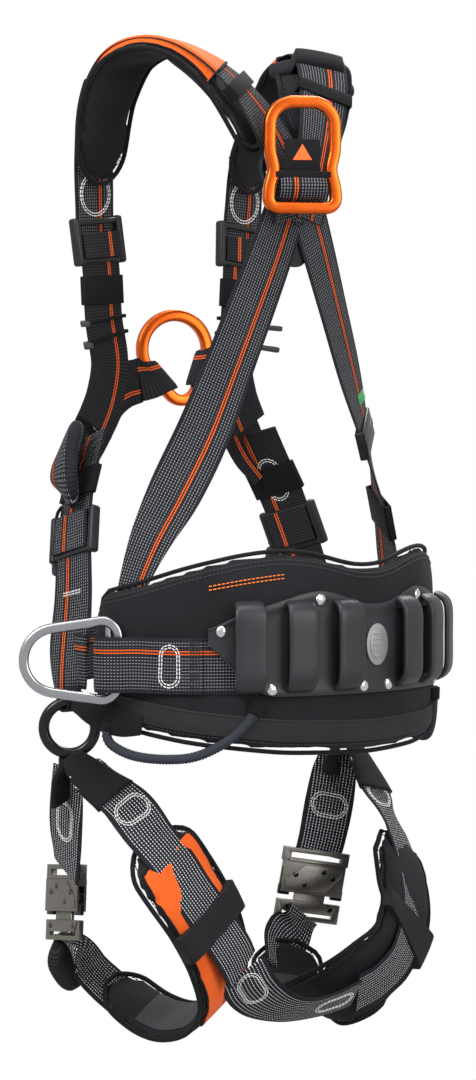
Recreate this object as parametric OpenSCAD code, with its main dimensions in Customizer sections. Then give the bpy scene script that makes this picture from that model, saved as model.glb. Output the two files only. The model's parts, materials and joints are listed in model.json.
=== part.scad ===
// Full-body tree climbing harness, drawn as it sits on a wearer.
// The origin is the middle of the waist, level with the side rings. +Z is up the back,
// the wearer faces +Y, and the wearer's left is -X.

/* [Webbing] */
// Width of the load-bearing webbing
webbing_w = 45; // [42:1:46]
// Thickness of one layer of webbing
webbing_t = 2; // [1.6:0.2:2.4]

/* [Belt] */
// Half-width of the waist, at the wearer's sides
waist_half_w = 165; // [162:1:168]
// Half-depth of the waist, front to back
waist_half_d = 122; // [120:1:124]
// Thickness of the padded belt
belt_pad_t = 14; // [12:1:15]
// Thickness of the moulded tool plate
plate_t = 3; // [2:0.5:4]
// How far the tool loops stand off the plate
loop_rise = 12; // [11:1:16]

/* [Pads] */
// Thickness of the shoulder pads
shoulder_pad_t = 8; // [6:1:9]
// Thickness of the leg pads
leg_pad_t = 9; // [7:1:10]

/* [Metal] */
// Diameter of the bar of the back and chest rings
ring_bar_d = 10; // [9:0.5:10.5]
// Diameter of the bar of the side rings
side_bar_d = 8; // [7:0.5:8.5]
// Diameter of the bar of the hip rings
hip_bar_d = 9; // [8:0.5:9.5]

/* [Hidden] */
$fn = 32;

black = [0.1, 0.1, 0.11];
grey = [0.24, 0.24, 0.26];
orange = [0.95, 0.38, 0.1];
steel = [0.75, 0.76, 0.78];

// ---------------------------------------------------------------- routes
// A point of a route is [x, y, z, twist in degrees, width]. Twist turns the flat side
// about the route; it is 0, and the width is the webbing's, where they are left out.
back_strap_route = [
    [-14, -66, 368], [-30, -65, 332], [-51, -62, 287], [-76, -58, 234], [-99, -54, 186, 8],
    [-124, -46, 138, 20, 44], [-144, -38, 100, 30, 36], [-158, -32, 64, 40, 28], [-168, -32, 34, 45, 24]];
shoulder_route = [
    [-8, -70, 362], [-18, -70, 404], [-38, -60, 446], [-64, -38, 484], [-90, -4, 506],
    [-101, 34, 498], [-100, 62, 464], [-94, 76, 418], [-91, 79, 376], [-89, 80, 344]];
shoulder_pad_route = [
    [-30, -52, 418, 0, 40], [-44, -44, 444, 0, 56], [-66, -26, 475, 0, 62], [-89, 0, 497, 0, 64],
    [-99, 32, 489, 0, 62], [-98, 56, 458, 0, 58], [-92, 69, 418, 0, 54], [-90, 72, 392, 0, 40]];
front_strap_route = [
    [-89, 78, 352], [-86, 76, 320], [-83, 76, 280], [-76, 76, 244], [-82, 76, 214], [-94, 76, 190]];
chest_left_route = [
    [-23, 94, 229, 0, 38], [-36, 98, 225, 0, 40], [-52, 98, 216, 0, 42], [-68, 94, 202], [-86, 89, 184],
    [-104, 84, 166, 0, 42], [-118, 78, 150, 0, 36]];
chest_right_route = [
    [48, 61, 240, 0, 36], [55, 65, 236, 0, 40], [64, 70, 226, 0, 42], [76, 77, 208], [90, 82, 188],
    [104, 82, 168, 0, 42], [118, 76, 150, 0, 36]];
front_tail_route = [
    [-112, 76, 184, 0, 30], [-124, 73, 176, 0, 36], [-134, 70, 164, 0, 40], [-138, 68, 150, 0, 40],
    [-135, 67, 139, 0, 38], [-128, 68, 134, 0, 34]];
riser_route = [
    [-97, 73, 184], [-110, 70, 160], [-125, 65, 130], [-137, 57, 92], [-147, 48, 50], [-157, 42, 12],
    [-163, 38, -14, 0, 34]];
gear_loop_route = [
    [-174, -20, -50], [-176, -20, -58], [-174, -26, -66], [-168, -44, -73], [-156, -68, -75],
    [-142, -88, -72], [-126, -106, -60], [-114, -118, -44], [-110, -122, -32]];
pull_cord_route = [
    [-128, 80, 124], [-130, 83, 119], [-131, 84, 112], [-131, 84, 104], [-131, 84, 96], [-131, 84, 86]];
leg_strap_left_route = [
    [-169, 14, -86, 0, 32], [-166, 2, -96, 0, 38], [-156, -22, -114], [-146, -40, -139], [-133, -52, -161],
    [-120, -60, -184], [-101, -66, -210], [-79, -69, -238], [-66, -66, -254]];
leg_strap_right_route = [
    [164, 14, -96, 0, 32], [164, 2, -108, 0, 38], [160, -20, -135], [162, -37, -162], [160, -51, -188],
    [151, -65, -214], [135, -76, -238], [112, -83, -262], [86, -83, -278], [62, -79, -287]];
seat_route = [
    [-65, -66, -256], [-48, -62, -274], [-21, -58, -289], [8, -62, -296], [36, -71, -293], [60, -79, -286]];
leg_pad_left_route = [
    [-144, -30, -142, 0, 60], [-137, -41, -154, 0, 76], [-124, -50, -176, 0, 80], [-106, -57, -204, 0, 78],
    [-88, -58, -234, 0, 76], [-72, -50, -266, 0, 72], [-64, -26, -292, 0, 66], [-66, 4, -304, 0, 60],
    [-73, 30, -299, 0, 58], [-84, 52, -282, 0, 54], [-90, 62, -270, 0, 44]];
leg_pad_right_route = [
    [154, -30, -160, 0, 46], [154, -42, -178, 0, 66], [148, -56, -204, 0, 76], [134, -68, -230, 0, 80],
    [110, -75, -254, 0, 80], [84, -74, -272, 0, 76], [68, -62, -286, 0, 70], [62, -36, -298, 0, 64],
    [68, -6, -300, -20, 60], [82, 18, -288, -40, 58], [98, 32, -268, -60, 58], [104, 37, -256, -60, 46]];
leg_front_left_route = [
    [-163, 40, -90, 0, 30], [-156, 46, -106, 0, 38], [-148, 56, -136], [-141, 63, -160], [-134, 70, -178]];
leg_front_right_route = [
    [158, 30, -96, 0, 30], [155, 29, -112, 0, 40], [148, 29, -140], [142, 31, -168], [138, 33, -184]];
leg_lower_left_route = [
    [-126, 79, -238, -50, 36], [-118, 79, -246, -20, 40], [-108, 78, -252, 0, 42], [-98, 74, -266],
    [-90, 68, -276], [-82, 56, -288]];
leg_lower_right_route = [
    [126, 39, -236, 0, 42], [118, 42, -248, 0, 42], [106, 44, -256], [94, 40, -266], [82, 28, -280]];

hip_band_route = [
    [-170, -52, -48, 0, 16], [-173, -34, -46, 0, 24], [-174, -14, -42, 0, 26], [-173, 4, -37, 0, 24],
    [-169, 20, -33, 0, 16]];
function front_loop_route(s) = s < 0
    ? [[-166, 40, -80, 0, 16], [-165, 41, -88, 0, 26], [-161, 43, -98, 0, 36], [-155, 46, -112, 0, 44]]
    : [[163, 37, -80, 0, 16], [161, 34, -90, 0, 28], [158, 31, -102, 0, 40], [155, 29, -116, 0, 46]];
function rear_loop_route(s) = s < 0
    ? [[-168, 27, -78, 0, 18], [-169, 16, -86, 0, 28], [-166, 2, -97, 0, 38], [-160, -14, -108, 0, 46]]
    : [[166, 27, -80, 0, 18], [166, 14, -92, 0, 28], [164, 1, -108, 0, 38], [161, -14, -126, 0, 46]];

waist = [0, -20, 0];               // middle of the belt's oval
back = [0, 150, 0];                // what the back straps face away from
behind = [0, -2000, 0];            // a far point that makes a strap lie flat on the chest
chest = [0, 0, 400];               // what the shoulder straps curve round
side = [0, 45, 0];                 // what the risers face away from
left_leg = [-105, 5, -215];        // middle of the left leg loop
right_leg = [142, -10, -212];      // middle of the right leg loop
up = [0, 0, 1];
across = [1, 0, 0];
freely = [0, 0, 0];

// ---------------------------------------------------------------- sweeping
function unit(v) = v / norm(v);
function point(p) = [p[0], p[1], p[2]];
function twist(p) = len(p) > 3 ? p[3] : 0;
function width(p, w) = len(p) > 4 ? p[4] : w;
function mirrored(route) = [for (p = route) [-p[0], p[1], p[2], -twist(p), width(p, webbing_w)]];
function catmull(a, b, c, d, t) =
    (2 * b + (c - a) * t + (2 * a - 5 * b + 4 * c - d) * t * t + (3 * b - a - 3 * c + d) * t * t * t) / 2;

// The route with n rings from one of its points to the next.
function smooth(route, w, n) =
    let (q = [for (p = route) concat(point(p), [twist(p), width(p, w)])], m = len(q) - 1)
    concat([for (i = [0 : m - 1], k = [0 : n - 1])
        let (b = q[i], c = q[i + 1])
        catmull(i == 0 ? 2 * b - c : q[i - 1], b, c, i == m - 1 ? 2 * c - b : q[i + 2], k / n)], [q[m]]);
function direction(s, i) = unit(point(s[min(i + 1, len(s) - 1)]) - point(s[max(i - 1, 0)]));

// Which way a strap's flat side faces: away from centre, measured square to axis.
function facing(p, d, turn, centre, axis) =
    let (v = p - centre, r = v - (v * axis) * axis, n = unit(r - (r * d) * d))
    n * cos(turn) + cross(d, n) * sin(turn);

flat_section = [[-0.5, -0.5], [0.5, -0.5], [0.5, 0.5], [-0.5, 0.5]];
soft_section = [for (a = [15 : 30 : 345])
    [0.5 * sign(cos(a)) * pow(abs(cos(a)), 0.5), 0.5 * sign(sin(a)) * pow(abs(sin(a)), 0.7)]];
round_section = [for (a = [22.5 : 45 : 337.5]) [0.5 * cos(a), 0.5 * sin(a)]];

module sweep(route, w = webbing_w, t = webbing_t, centre = waist, axis = up, section = flat_section, n = 5) {
    s = smooth(route, w, n);
    m = len(section);
    corners = [for (i = [0 : len(s) - 1])
        let (p = point(s[i]), d = direction(s, i), f = facing(p, d, s[i][3], centre, axis), b = cross(d, f))
        for (q = section) p + b * q[0] * s[i][4] + f * q[1] * t];
    walls = [for (i = [0 : len(s) - 2], j = [0 : m - 1])
        let (a = i * m + j, b = i * m + (j + 1) % m)
        each j < m / 2 ? [[a, b + m, a + m], [a, b, b + m]] : [[a, b, a + m], [b, b + m, a + m]]];
    ends = [[for (j = [m - 1 : -1 : 0]) j], [for (j = [0 : m - 1]) len(corners) - m + j]];
    polyhedron(corners, concat(walls, ends));
}

// Children placed at p, with their x and y along x and y.
module placed(p, x, y) {
    z = cross(x, y);
    multmatrix([[x[0], y[0], z[0], p[0]], [x[1], y[1], z[1], p[1]], [x[2], y[2], z[2], p[2]], [0, 0, 0, 1]])
        children();
}

// Children placed on a strap, x across it and y out of it, at a share of its length.
module on_strap(route, share, centre = waist, axis = up) {
    s = smooth(route, webbing_w, 5);
    i = round(share * (len(s) - 1));
    d = direction(s, i);
    f = facing(point(s[i]), d, s[i][3], centre, axis);
    placed(point(s[i]), cross(d, f), f) children();
}

module both() {
    children();
    mirror([1, 0, 0]) children();
}

// A closed ring of round bar in the xz plane, stretched round circles [x, z, radius].
function turn(a, b) =
    let (v = [b[0] - a[0], b[1] - a[1]])
    atan2(v[1], v[0]) - acos((a[2] - b[2]) / norm(v));
module bar_ring(circles, d, bar_sides = 16, bend_step = 15) {
    n = len(circles);
    bends = [for (i = [0 : n - 1])
        let (c = circles[i], start = turn(circles[(i + n - 1) % n], c), stop = turn(c, circles[(i + 1) % n]),
            bend = ((stop - start) % 360 + 360) % 360, count = ceil(bend / bend_step))
        for (k = [0 : count]) [c, start + bend * k / count]];
    corners = [for (s = bends, k = [0 : bar_sides - 1])
        let (r = s[0][2] + d / 2 * cos(360 * k / bar_sides))
        [s[0][0] + r * cos(s[1]), d / 2 * sin(360 * k / bar_sides), s[0][1] + r * sin(s[1])]];
    polyhedron(corners, [for (i = [0 : len(bends) - 1], k = [0 : bar_sides - 1])
        let (m = bar_sides, a = i * m + k, b = i * m + (k + 1) % m, c = (i + 1) % len(bends) * m)
        each [[a, c + (k + 1) % m, b], [a, c + k, c + (k + 1) % m]]]);
}

// A frame of flat bar round a strap: w and t are the hole, rim the bar, h its height.
module strap_frame(w, t, rim, h) {
    translate([0, 0, -h / 2]) linear_extrude(h) difference() {
        square([w + 2 * rim, t + 2 * rim], center = true);
        square([w, t], center = true);
    }
}

// ---------------------------------------------------------------- belt
function belt_normal(angle) = unit([sin(angle) / waist_half_w, -cos(angle) / waist_half_d, 0]);
function belt_point(angle, z, gap = 0) =
    waist + [waist_half_w * sin(angle), -waist_half_d * cos(angle), z] + belt_normal(angle) * gap;
function belt_route(from, to, count, bottom, top, gap) =
    [for (i = [0 : count])
        let (a = from + (to - from) * i / count, lo = lookup(abs(a), bottom), hi = lookup(abs(a), top))
        concat(belt_point(a, (lo + hi) / 2, gap), [0, hi - lo])];

// Heights of edges, as [angle from the middle of the back, z].
pad_top = [[0, 78], [8, 80], [18, 88], [30, 92], [42, 89], [60, 79], [80, 65], [102, 55]];
pad_bottom = [[0, -74], [30, -71], [60, -62], [102, -44]];
plate_top = [[0, 46], [8, 49], [16, 59], [22, 60], [34, 50], [46, 40], [54, 28]];
plate_bottom = [[0, -25], [38, -25], [46, -8], [54, 22]];
webbing_gap = (belt_pad_t + webbing_t) / 2 + 0.2;
plate_gap = webbing_gap + (webbing_t + plate_t) / 2 + 0.2;
loop_angles = [-42, -27, -12, 12, 26, 39];
rivet_places = [[-50, 28], [-35, -19], [-20, 52], [-5, -19], [5, -19], [20, 52], [35, -19], [48, 28]];

module belt_pad() color(black)
    sweep(belt_route(-102, 102, 34, pad_bottom, pad_top, 0), t = belt_pad_t, section = soft_section, n = 1);

module back_belt_webbing() color(grey)
    sweep([for (a = [-84 : 6 : 84]) belt_point(a, 0, webbing_gap)], n = 1);

module front_belt_webbing() color(grey) both()
    sweep([for (a = [104 : 6 : 164]) belt_point(a, 0, webbing_gap)], n = 1);

module tool_loop() color(grey) translate([-12, 0, 0]) rotate([90, 0, 90])
    linear_extrude(24) difference() {
        hull() {
            translate([0, -36]) square([1, 72]);
            for (z = [-26, 26]) translate([loop_rise - 6, z]) circle(6);
        }
        translate([plate_t / 2, -29]) square([loop_rise - plate_t / 2 - 3, 58]);
    }

module on_belt(angle, z, gap) placed(belt_point(angle, z, gap), cross(belt_normal(angle), up), belt_normal(angle))
    children();

module tool_plate() color(grey)
    sweep(belt_route(-54, 54, 27, plate_bottom, plate_top, plate_gap), t = plate_t, n = 1);

module tool_loops() for (a = loop_angles) on_belt(a, 14, plate_gap) tool_loop();

module plate_rivets() color(steel)
    for (r = rivet_places) on_belt(r[0], r[1], plate_gap + plate_t / 2 - 0.4) rotate([-90, 0, 0]) {
        cylinder(h = 1.2, d = 9);
        cylinder(h = 2, d = 6);
    }

module gear_loops() color(grey) both()
    sweep(gear_loop_route, 8, 8, section = round_section, n = 4);

// ---------------------------------------------------------------- rings
side_bar = [-184, -30, 4];         // middle of the bar that the left side ring turns on
side_heading = 133;                // where the left side ring points, from its bar
pin_d = 5;
sleeve_gap = 0.4;
dorsal_bar = [-24, -94, 369];
dorsal_turn = -36;
sternal_middle = [7, 78, 246];
sternal_turn = -28;
sternal_tilt = -12;
sternal_loop_z = -9;
sternal_circles = [[0, -20, 14], [0, 10, 29]];
hip_ring_middle = [-163, 36, -55];
hip_ring_r = 21;

module side_ring() color(steel) translate(side_bar) rotate(side_heading - 180) {
    bar_ring([[-42, 0, 26], [5, -27, 4.5], [5, 27, 4.5]], side_bar_d);
    cylinder(h = 58, d = pin_d, center = true);
}

module side_ring_sleeves() color(grey) both() translate([side_bar[0], side_bar[1], 0]) difference() {
    cylinder(h = webbing_w - 2, d = pin_d + 2 * (webbing_t + sleeve_gap), center = true);
    cylinder(h = webbing_w, d = pin_d + 2 * sleeve_gap, center = true);
}

module dorsal_ring() color(orange) translate(dorsal_bar) rotate(dorsal_turn)
    bar_ring([[-20, 8, 8], [20, 8, 8], [8, 67, 19], [-8, 67, 19]], ring_bar_d);

module dorsal_loop() color(grey) translate(dorsal_bar) rotate(dorsal_turn) {
    rotate([0, 90, 0]) difference() {
        cylinder(h = 36, d = ring_bar_d + 2 * (webbing_t + sleeve_gap), center = true);
        cylinder(h = 38, d = ring_bar_d + 2 * sleeve_gap, center = true);
    }
    translate([-18, ring_bar_d / 2 + sleeve_gap + webbing_t / 2, -2]) cube([36, 20, 4]);
}

module dorsal_plate() color(black) translate([0, -62, 374]) rotate([90, 0, 0]) linear_extrude(4) difference() {
    hull() {
        for (x = [-30, 30]) translate([x, 30]) circle(12);
        translate([0, -36]) circle(16);
    }
    for (x = [-1, 1], z = [-8, 26]) translate([x * 22, z]) square([30, 5], center = true);
}

module in_sternal_frame() translate(sternal_middle) rotate(sternal_turn) rotate([0, sternal_tilt, 0]) children();

module sternal_ring() color(orange) in_sternal_frame() bar_ring(sternal_circles, ring_bar_d);

module sternal_ring_loops() color(grey) in_sternal_frame() for (s = [-1, 1]) {
    translate([s * 19.6, 0, sternal_loop_z]) rotate([0, s * 30, 0]) difference() {
        cylinder(h = 26, d = ring_bar_d + 2 * (webbing_t + sleeve_gap), center = true);
        cylinder(h = 28, d = ring_bar_d + 2 * sleeve_gap, center = true);
    }
    translate([s * 29.5, 0, sternal_loop_z]) rotate([0, 90, 0]) cylinder(h = 7, d = 5, center = true);
    translate([s * 29.5, 0, sternal_loop_z]) cube([5, 2.4, 34], center = true);
}

module hip_ring() color(black) translate(hip_ring_middle) rotate(-47) rotate([90, 0, 0])
    rotate_extrude() translate([hip_ring_r, 0]) circle(d = hip_bar_d);

module hip_sleeves() color(black) both() translate(hip_ring_middle + [0, 0, hip_ring_r])
    rotate([0, 90, 0]) difference() {
        cylinder(h = 16, d = hip_bar_d + 7, center = true);
        cylinder(h = 18, d = hip_bar_d + 3, center = true);
    }

// ---------------------------------------------------------------- buckles
// A double-latch buckle: x across the strap, y out of it, z up it.
latch_pivot = [22.5, 10];

module buckle_base() color(steel) {
    difference() {
        union() {
            translate([-28, -4.5, -3]) cube([56, 9, 27]);
            translate([-30, -3, 24]) cube([60, 6, 12]);
        }
        translate([-webbing_w / 2 - 0.5, -5, 27]) cube([webbing_w + 1, 10, 5]);
        translate([-17, -1.8, -4]) cube([34, 3.6, 23]);
        for (s = [-1, 1]) translate([s * 22.5 - 6.5, -2.6, -4]) cube([13, 5.2, 22]);
    }
    for (s = [-1, 1]) translate([s * latch_pivot[0], 4, latch_pivot[1]]) rotate([90, 0, 0])
        cylinder(h = 8, d = 3.4);
}

module buckle_tongue() color(steel) difference() {
    union() {
        translate([-29, -2.5, -27]) cube([58, 5, 17]);
        translate([-14, -1.5, -12]) cube([28, 3, 27]);
    }
    translate([-webbing_w / 2 - 0.5, -5, -23]) cube([webbing_w + 1, 10, 5]);
}

module buckle_latch(s) color(grey)
    translate([s * latch_pivot[0], 2.2, latch_pivot[1]]) rotate([90, 0, 0]) linear_extrude(4.4) difference() {
        union() {
            circle(4.2);
            translate([-3.5, -16]) square([7, 16]);
            translate([s > 0 ? 0 : -7, -16]) square([7, 9]);
        }
        circle(2.15);
    }

left_buckle_x = [0.28, 0.95, -0.1];
left_buckle_y = [-0.95, 0.28, 0.1];
right_buckle_x = [0.86, -0.51, -0.16];
right_buckle_y = [0.51, 0.86, 0.05];
function square_to(v, x) = unit(cross(cross(x, v), x));
module at_left_buckle() placed([-126, 79, -210], unit(left_buckle_x), square_to(left_buckle_y, left_buckle_x))
    children();
module at_right_buckle() placed([132, 37, -216], unit(right_buckle_x), square_to(right_buckle_y, right_buckle_x))
    children();
module at_belt_buckle() placed([0, 110, 0], up, [0, 1, 0]) children();

// ---------------------------------------------------------------- straps' fittings
parking_places = [0.4, 0.48];      // where the parking cords sit, as shares of the front strap

module adjuster() {
    strap_frame(webbing_w + 2, 6, 3, 4);
    for (z = [-14, 14]) translate([0, 0, z]) strap_frame(webbing_w + 2, 6, 3, 4);
    for (s = [-1, 1]) translate([s * (webbing_w / 2 + 2.5), 0, 0]) cube([3, 10, 32], center = true);
}

module chest_fitting(share) both() on_strap(front_strap_route, share, behind) children();

module strap_adjusters() color(black) both() {
    on_strap(front_strap_route, 0.04, behind) adjuster();
    on_strap(riser_route, 0.4, side) adjuster();
}

module strap_keepers() color(black) {
    chest_fitting(0.28) strap_frame(webbing_w + 0.6, webbing_t + 0.6, 1.2, 24);
    both() on_strap(riser_route, 0.25, side) strap_frame(webbing_w + 0.6, webbing_t + 0.6, 1.5, 26);
    for (share = parking_places) chest_fitting(share) strap_frame(webbing_w + 0.6, webbing_t + 0.6, 2, 3);
}

module tab() hull() {
    cylinder(h = 4, d = 5, center = true);
    translate([0, -16, 0]) cylinder(h = 4, d = 8, center = true);
}

module parking_tabs() color(black) for (share = parking_places)
    chest_fitting(share) translate([-webbing_w / 2 - 3, 0, 0]) rotate([0, 0, -40]) tab();

module pull_cord() color(black)
    sweep(pull_cord_route, 3, 3, section = round_section, n = 3);

module pull_tabs() color(grey) both() translate([-131, 84, 84]) rotate([90, 0, 90]) tab();

module back_strap_slider() color(black) {
    on_strap(mirrored(back_strap_route), 0.55, back) strap_frame(webbing_w + 1, webbing_t + 1, 3, 40);
    on_strap(mirrored(back_strap_route), 0.76, back) strap_frame(webbing_w - 4, webbing_t + 1, 2, 34);
}

module leg_pad_bands() color(black) {
    on_strap(leg_pad_left_route, 0.3, left_leg, freely) strap_frame(79, leg_pad_t + 5, 1.5, 22);
    on_strap(leg_pad_right_route, 0.3, right_leg, freely) strap_frame(77, leg_pad_t + 5, 1.5, 22);
}

module front_strap_left() {
    strap(front_strap_route, behind);
    strap(front_tail_route, [0, 0, 150]);
}

// The fabric that joins a hip ring to the belt, and the straps of the leg loop to the ring.
module hip_bands() color(black) both() sweep(hip_band_route, t = 5, section = soft_section, n = 4);
module hip_loops() color(black) for (end = [0, 1], s = [-1, 1])
    sweep(end == 0 ? front_loop_route(s) : rear_loop_route(s), t = 8,
        centre = s < 0 ? left_leg : right_leg, axis = freely, section = soft_section, n = 4);

// ---------------------------------------------------------------- drawing
module strap(route, centre = waist, axis = up) color(grey) sweep(route, centre = centre, axis = axis);
module pad(route, t, centre, axis, shade) color(shade)
    sweep(route, t = t, centre = centre, axis = axis, section = soft_section, n = 4);

module shoulder_pad(route, shade) pad(route, shoulder_pad_t, chest, across, shade);

belt_pad();
back_belt_webbing();
tool_plate();
tool_loops();
plate_rivets();
side_ring_sleeves();
front_belt_webbing();
dorsal_plate();
dorsal_loop();
dorsal_ring();
strap(back_strap_route, back);  // back_strap_left
strap(mirrored(back_strap_route), back);  // back_strap_right
strap(shoulder_route, chest, across);  // shoulder_strap_left
strap(mirrored(shoulder_route), chest, across);  // shoulder_strap_right
shoulder_pad(shoulder_pad_route, orange);  // shoulder_pad_left
shoulder_pad(mirrored(shoulder_pad_route), black);  // shoulder_pad_right
strap_adjusters();
front_strap_left();
strap(mirrored(front_strap_route), behind);  // front_strap_right
strap_keepers();
parking_tabs();
strap(chest_left_route, behind);  // chest_strap_left
strap(chest_right_route, behind);  // chest_strap_right
sternal_ring();
sternal_ring_loops();
both() strap(riser_route, side);  // riser_straps
side_ring();  // side_ring_left
mirror([1, 0, 0]) side_ring();  // side_ring_right
back_strap_slider();
gear_loops();
pull_cord();  // pull_cord_left
mirror([1, 0, 0]) pull_cord();  // pull_cord_right
pull_tabs();
hip_bands();
hip_loops();
hip_sleeves();
hip_ring();  // hip_ring_left
mirror([1, 0, 0]) hip_ring();  // hip_ring_right
strap(leg_strap_left_route, left_leg, freely);  // leg_strap_left
strap(leg_strap_right_route, right_leg, freely);  // leg_strap_right
strap(seat_route, [0, 0, -200], across);  // seat_strap
pad(leg_pad_left_route, leg_pad_t, left_leg, freely, orange);  // leg_pad_left
pad(leg_pad_right_route, leg_pad_t, right_leg, freely, black);  // leg_pad_right
leg_pad_bands();
strap(leg_front_left_route, [-50, 45, 0]);  // leg_front_strap_left
strap(leg_front_right_route, [110, -40, 0]);  // leg_front_strap_right
strap(leg_lower_left_route, left_leg, freely);  // leg_lower_strap_left
strap(leg_lower_right_route, right_leg, freely);  // leg_lower_strap_right
at_left_buckle() buckle_base();  // leg_buckle_left_base
at_left_buckle() buckle_tongue();  // leg_buckle_left_tongue
at_left_buckle() buckle_latch(1);  // leg_buckle_left_latch_inner
at_left_buckle() buckle_latch(-1);  // leg_buckle_left_latch_outer
at_right_buckle() buckle_base();  // leg_buckle_right_base
at_right_buckle() buckle_tongue();  // leg_buckle_right_tongue
at_right_buckle() buckle_latch(-1);  // leg_buckle_right_latch_inner
at_right_buckle() buckle_latch(1);  // leg_buckle_right_latch_outer
at_belt_buckle() buckle_base();  // belt_buckle_base
at_belt_buckle() buckle_tongue();  // belt_buckle_tongue
at_belt_buckle() buckle_latch(1);  // belt_buckle_latch_upper
at_belt_buckle() buckle_latch(-1);  // belt_buckle_latch_lower
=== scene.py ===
import json
import math

import bmesh
import bpy
import numpy as np
from bpy.props import FloatProperty, FloatVectorProperty, PointerProperty
from mathutils import Matrix, Vector
from mathutils.bvhtree import BVHTree


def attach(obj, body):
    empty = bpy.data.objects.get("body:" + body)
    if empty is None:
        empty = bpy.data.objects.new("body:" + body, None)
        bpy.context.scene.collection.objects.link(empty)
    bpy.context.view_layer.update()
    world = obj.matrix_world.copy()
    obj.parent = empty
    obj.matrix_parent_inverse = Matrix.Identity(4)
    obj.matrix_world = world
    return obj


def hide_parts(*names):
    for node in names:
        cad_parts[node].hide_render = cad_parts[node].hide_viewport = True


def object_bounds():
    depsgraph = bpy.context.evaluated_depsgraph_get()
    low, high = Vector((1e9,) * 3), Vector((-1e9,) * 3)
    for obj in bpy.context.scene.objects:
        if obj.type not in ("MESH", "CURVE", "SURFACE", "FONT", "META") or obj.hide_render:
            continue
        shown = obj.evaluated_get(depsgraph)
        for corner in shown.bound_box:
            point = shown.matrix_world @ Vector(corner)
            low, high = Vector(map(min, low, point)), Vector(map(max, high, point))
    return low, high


bl_info = {
    "name": "Tree climbing harness",
    "version": (1, 0, 0),
    "blender": (4, 5, 0),
    "location": "View3D > Sidebar > Harness",
    "description": "Webbing, padding, rings and buckles of a full-body tree climbing harness",
    "category": "Object",
}

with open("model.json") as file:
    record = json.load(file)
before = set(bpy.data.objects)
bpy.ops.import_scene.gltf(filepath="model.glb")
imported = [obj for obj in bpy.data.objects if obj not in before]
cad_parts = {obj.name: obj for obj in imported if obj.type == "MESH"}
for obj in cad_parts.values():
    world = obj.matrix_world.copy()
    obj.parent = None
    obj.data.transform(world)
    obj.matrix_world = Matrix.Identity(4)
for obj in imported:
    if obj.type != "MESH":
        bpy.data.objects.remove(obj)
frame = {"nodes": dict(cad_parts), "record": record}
CAD_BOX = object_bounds()
NODE_BODY = {n: b for b, ns in frame["record"]["behaviour"]["bodies"].items() for n in ns}
MM = 0.001
UP = (0, 0, 1)
ACROSS = (1, 0, 0)
FREE = (0, 0, 0)
WAIST = (0, -20, 0)
HALF_W, HALF_D = 165, 122
PAD_T = 14
PLATE_T = 3
WEBBING_T = 2

# Routes of the straps, in millimetres: [x, y, z, twist in degrees, width].
BACK_ROUTE = [
    [-14, -66, 368], [-30, -65, 332], [-51, -62, 287], [-76, -58, 234], [-99, -54, 186, 8],
    [-124, -46, 138, 20, 44], [-144, -38, 100, 30, 36], [-158, -32, 64, 40, 28], [-168, -32, 34, 45, 24]]
SHOULDER_ROUTE = [
    [-8, -70, 362], [-18, -70, 404], [-38, -60, 446], [-64, -38, 484], [-90, -4, 506],
    [-101, 34, 498], [-100, 62, 464], [-94, 76, 418], [-91, 79, 376], [-89, 80, 344]]
SHOULDER_PAD_ROUTE = [
    [-30, -52, 418, 0, 40], [-44, -44, 444, 0, 56], [-66, -26, 475, 0, 62], [-89, 0, 497, 0, 64],
    [-99, 32, 489, 0, 62], [-98, 56, 458, 0, 58], [-92, 69, 418, 0, 54], [-90, 72, 392, 0, 40]]
FRONT_ROUTE = [
    [-89, 78, 352], [-86, 76, 320], [-83, 76, 280], [-76, 76, 244], [-82, 76, 214], [-94, 76, 190]]
CHEST_LEFT_ROUTE = [
    [-23, 94, 229, 0, 38], [-36, 98, 225, 0, 40], [-52, 98, 216, 0, 42], [-68, 94, 202], [-86, 89, 184],
    [-104, 84, 166, 0, 42], [-118, 78, 150, 0, 36]]
CHEST_RIGHT_ROUTE = [
    [48, 61, 240, 0, 36], [55, 65, 236, 0, 40], [64, 70, 226, 0, 42], [76, 77, 208], [90, 82, 188],
    [104, 82, 168, 0, 42], [118, 76, 150, 0, 36]]
FRONT_TAIL_ROUTE = [
    [-112, 76, 184, 0, 30], [-124, 73, 176, 0, 36], [-134, 70, 164, 0, 40], [-138, 68, 150, 0, 40],
    [-135, 67, 139, 0, 38], [-128, 68, 134, 0, 34]]
HIP_BAND_ROUTE = [
    [-170, -52, -48, 0, 16], [-173, -34, -46, 0, 24], [-174, -14, -42, 0, 26], [-173, 4, -37, 0, 24],
    [-169, 20, -33, 0, 20], [-166, 30, -30, 0, 20], [-163, 39, -31, 0, 18]]
HIP_LOOP_ROUTES = {
    "left_front": [[-166, 40, -80, 0, 16], [-165, 41, -88, 0, 26], [-161, 43, -98, 0, 36],
                   [-155, 46, -112, 0, 44]],
    "left_rear": [[-168, 27, -78, 0, 18], [-169, 16, -86, 0, 28], [-166, 2, -97, 0, 38],
                  [-160, -14, -108, 0, 46]],
    "right_front": [[163, 37, -80, 0, 16], [161, 34, -90, 0, 28], [158, 31, -102, 0, 40],
                    [155, 29, -116, 0, 46]],
    "right_rear": [[166, 27, -80, 0, 18], [166, 14, -92, 0, 28], [164, 1, -108, 0, 38],
                   [161, -14, -126, 0, 46]]}
RISER_ROUTE = [
    [-97, 73, 184], [-110, 70, 160], [-125, 65, 130], [-137, 57, 92], [-147, 48, 50], [-157, 42, 12],
    [-163, 38, -14, 0, 34], [-163, 37, -32, 0, 24]]
GEAR_ROUTE = [
    [-174, -20, -50], [-176, -20, -58], [-174, -26, -66], [-168, -44, -73], [-156, -68, -75],
    [-142, -88, -72], [-126, -106, -60], [-114, -118, -44], [-110, -122, -32]]
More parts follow.
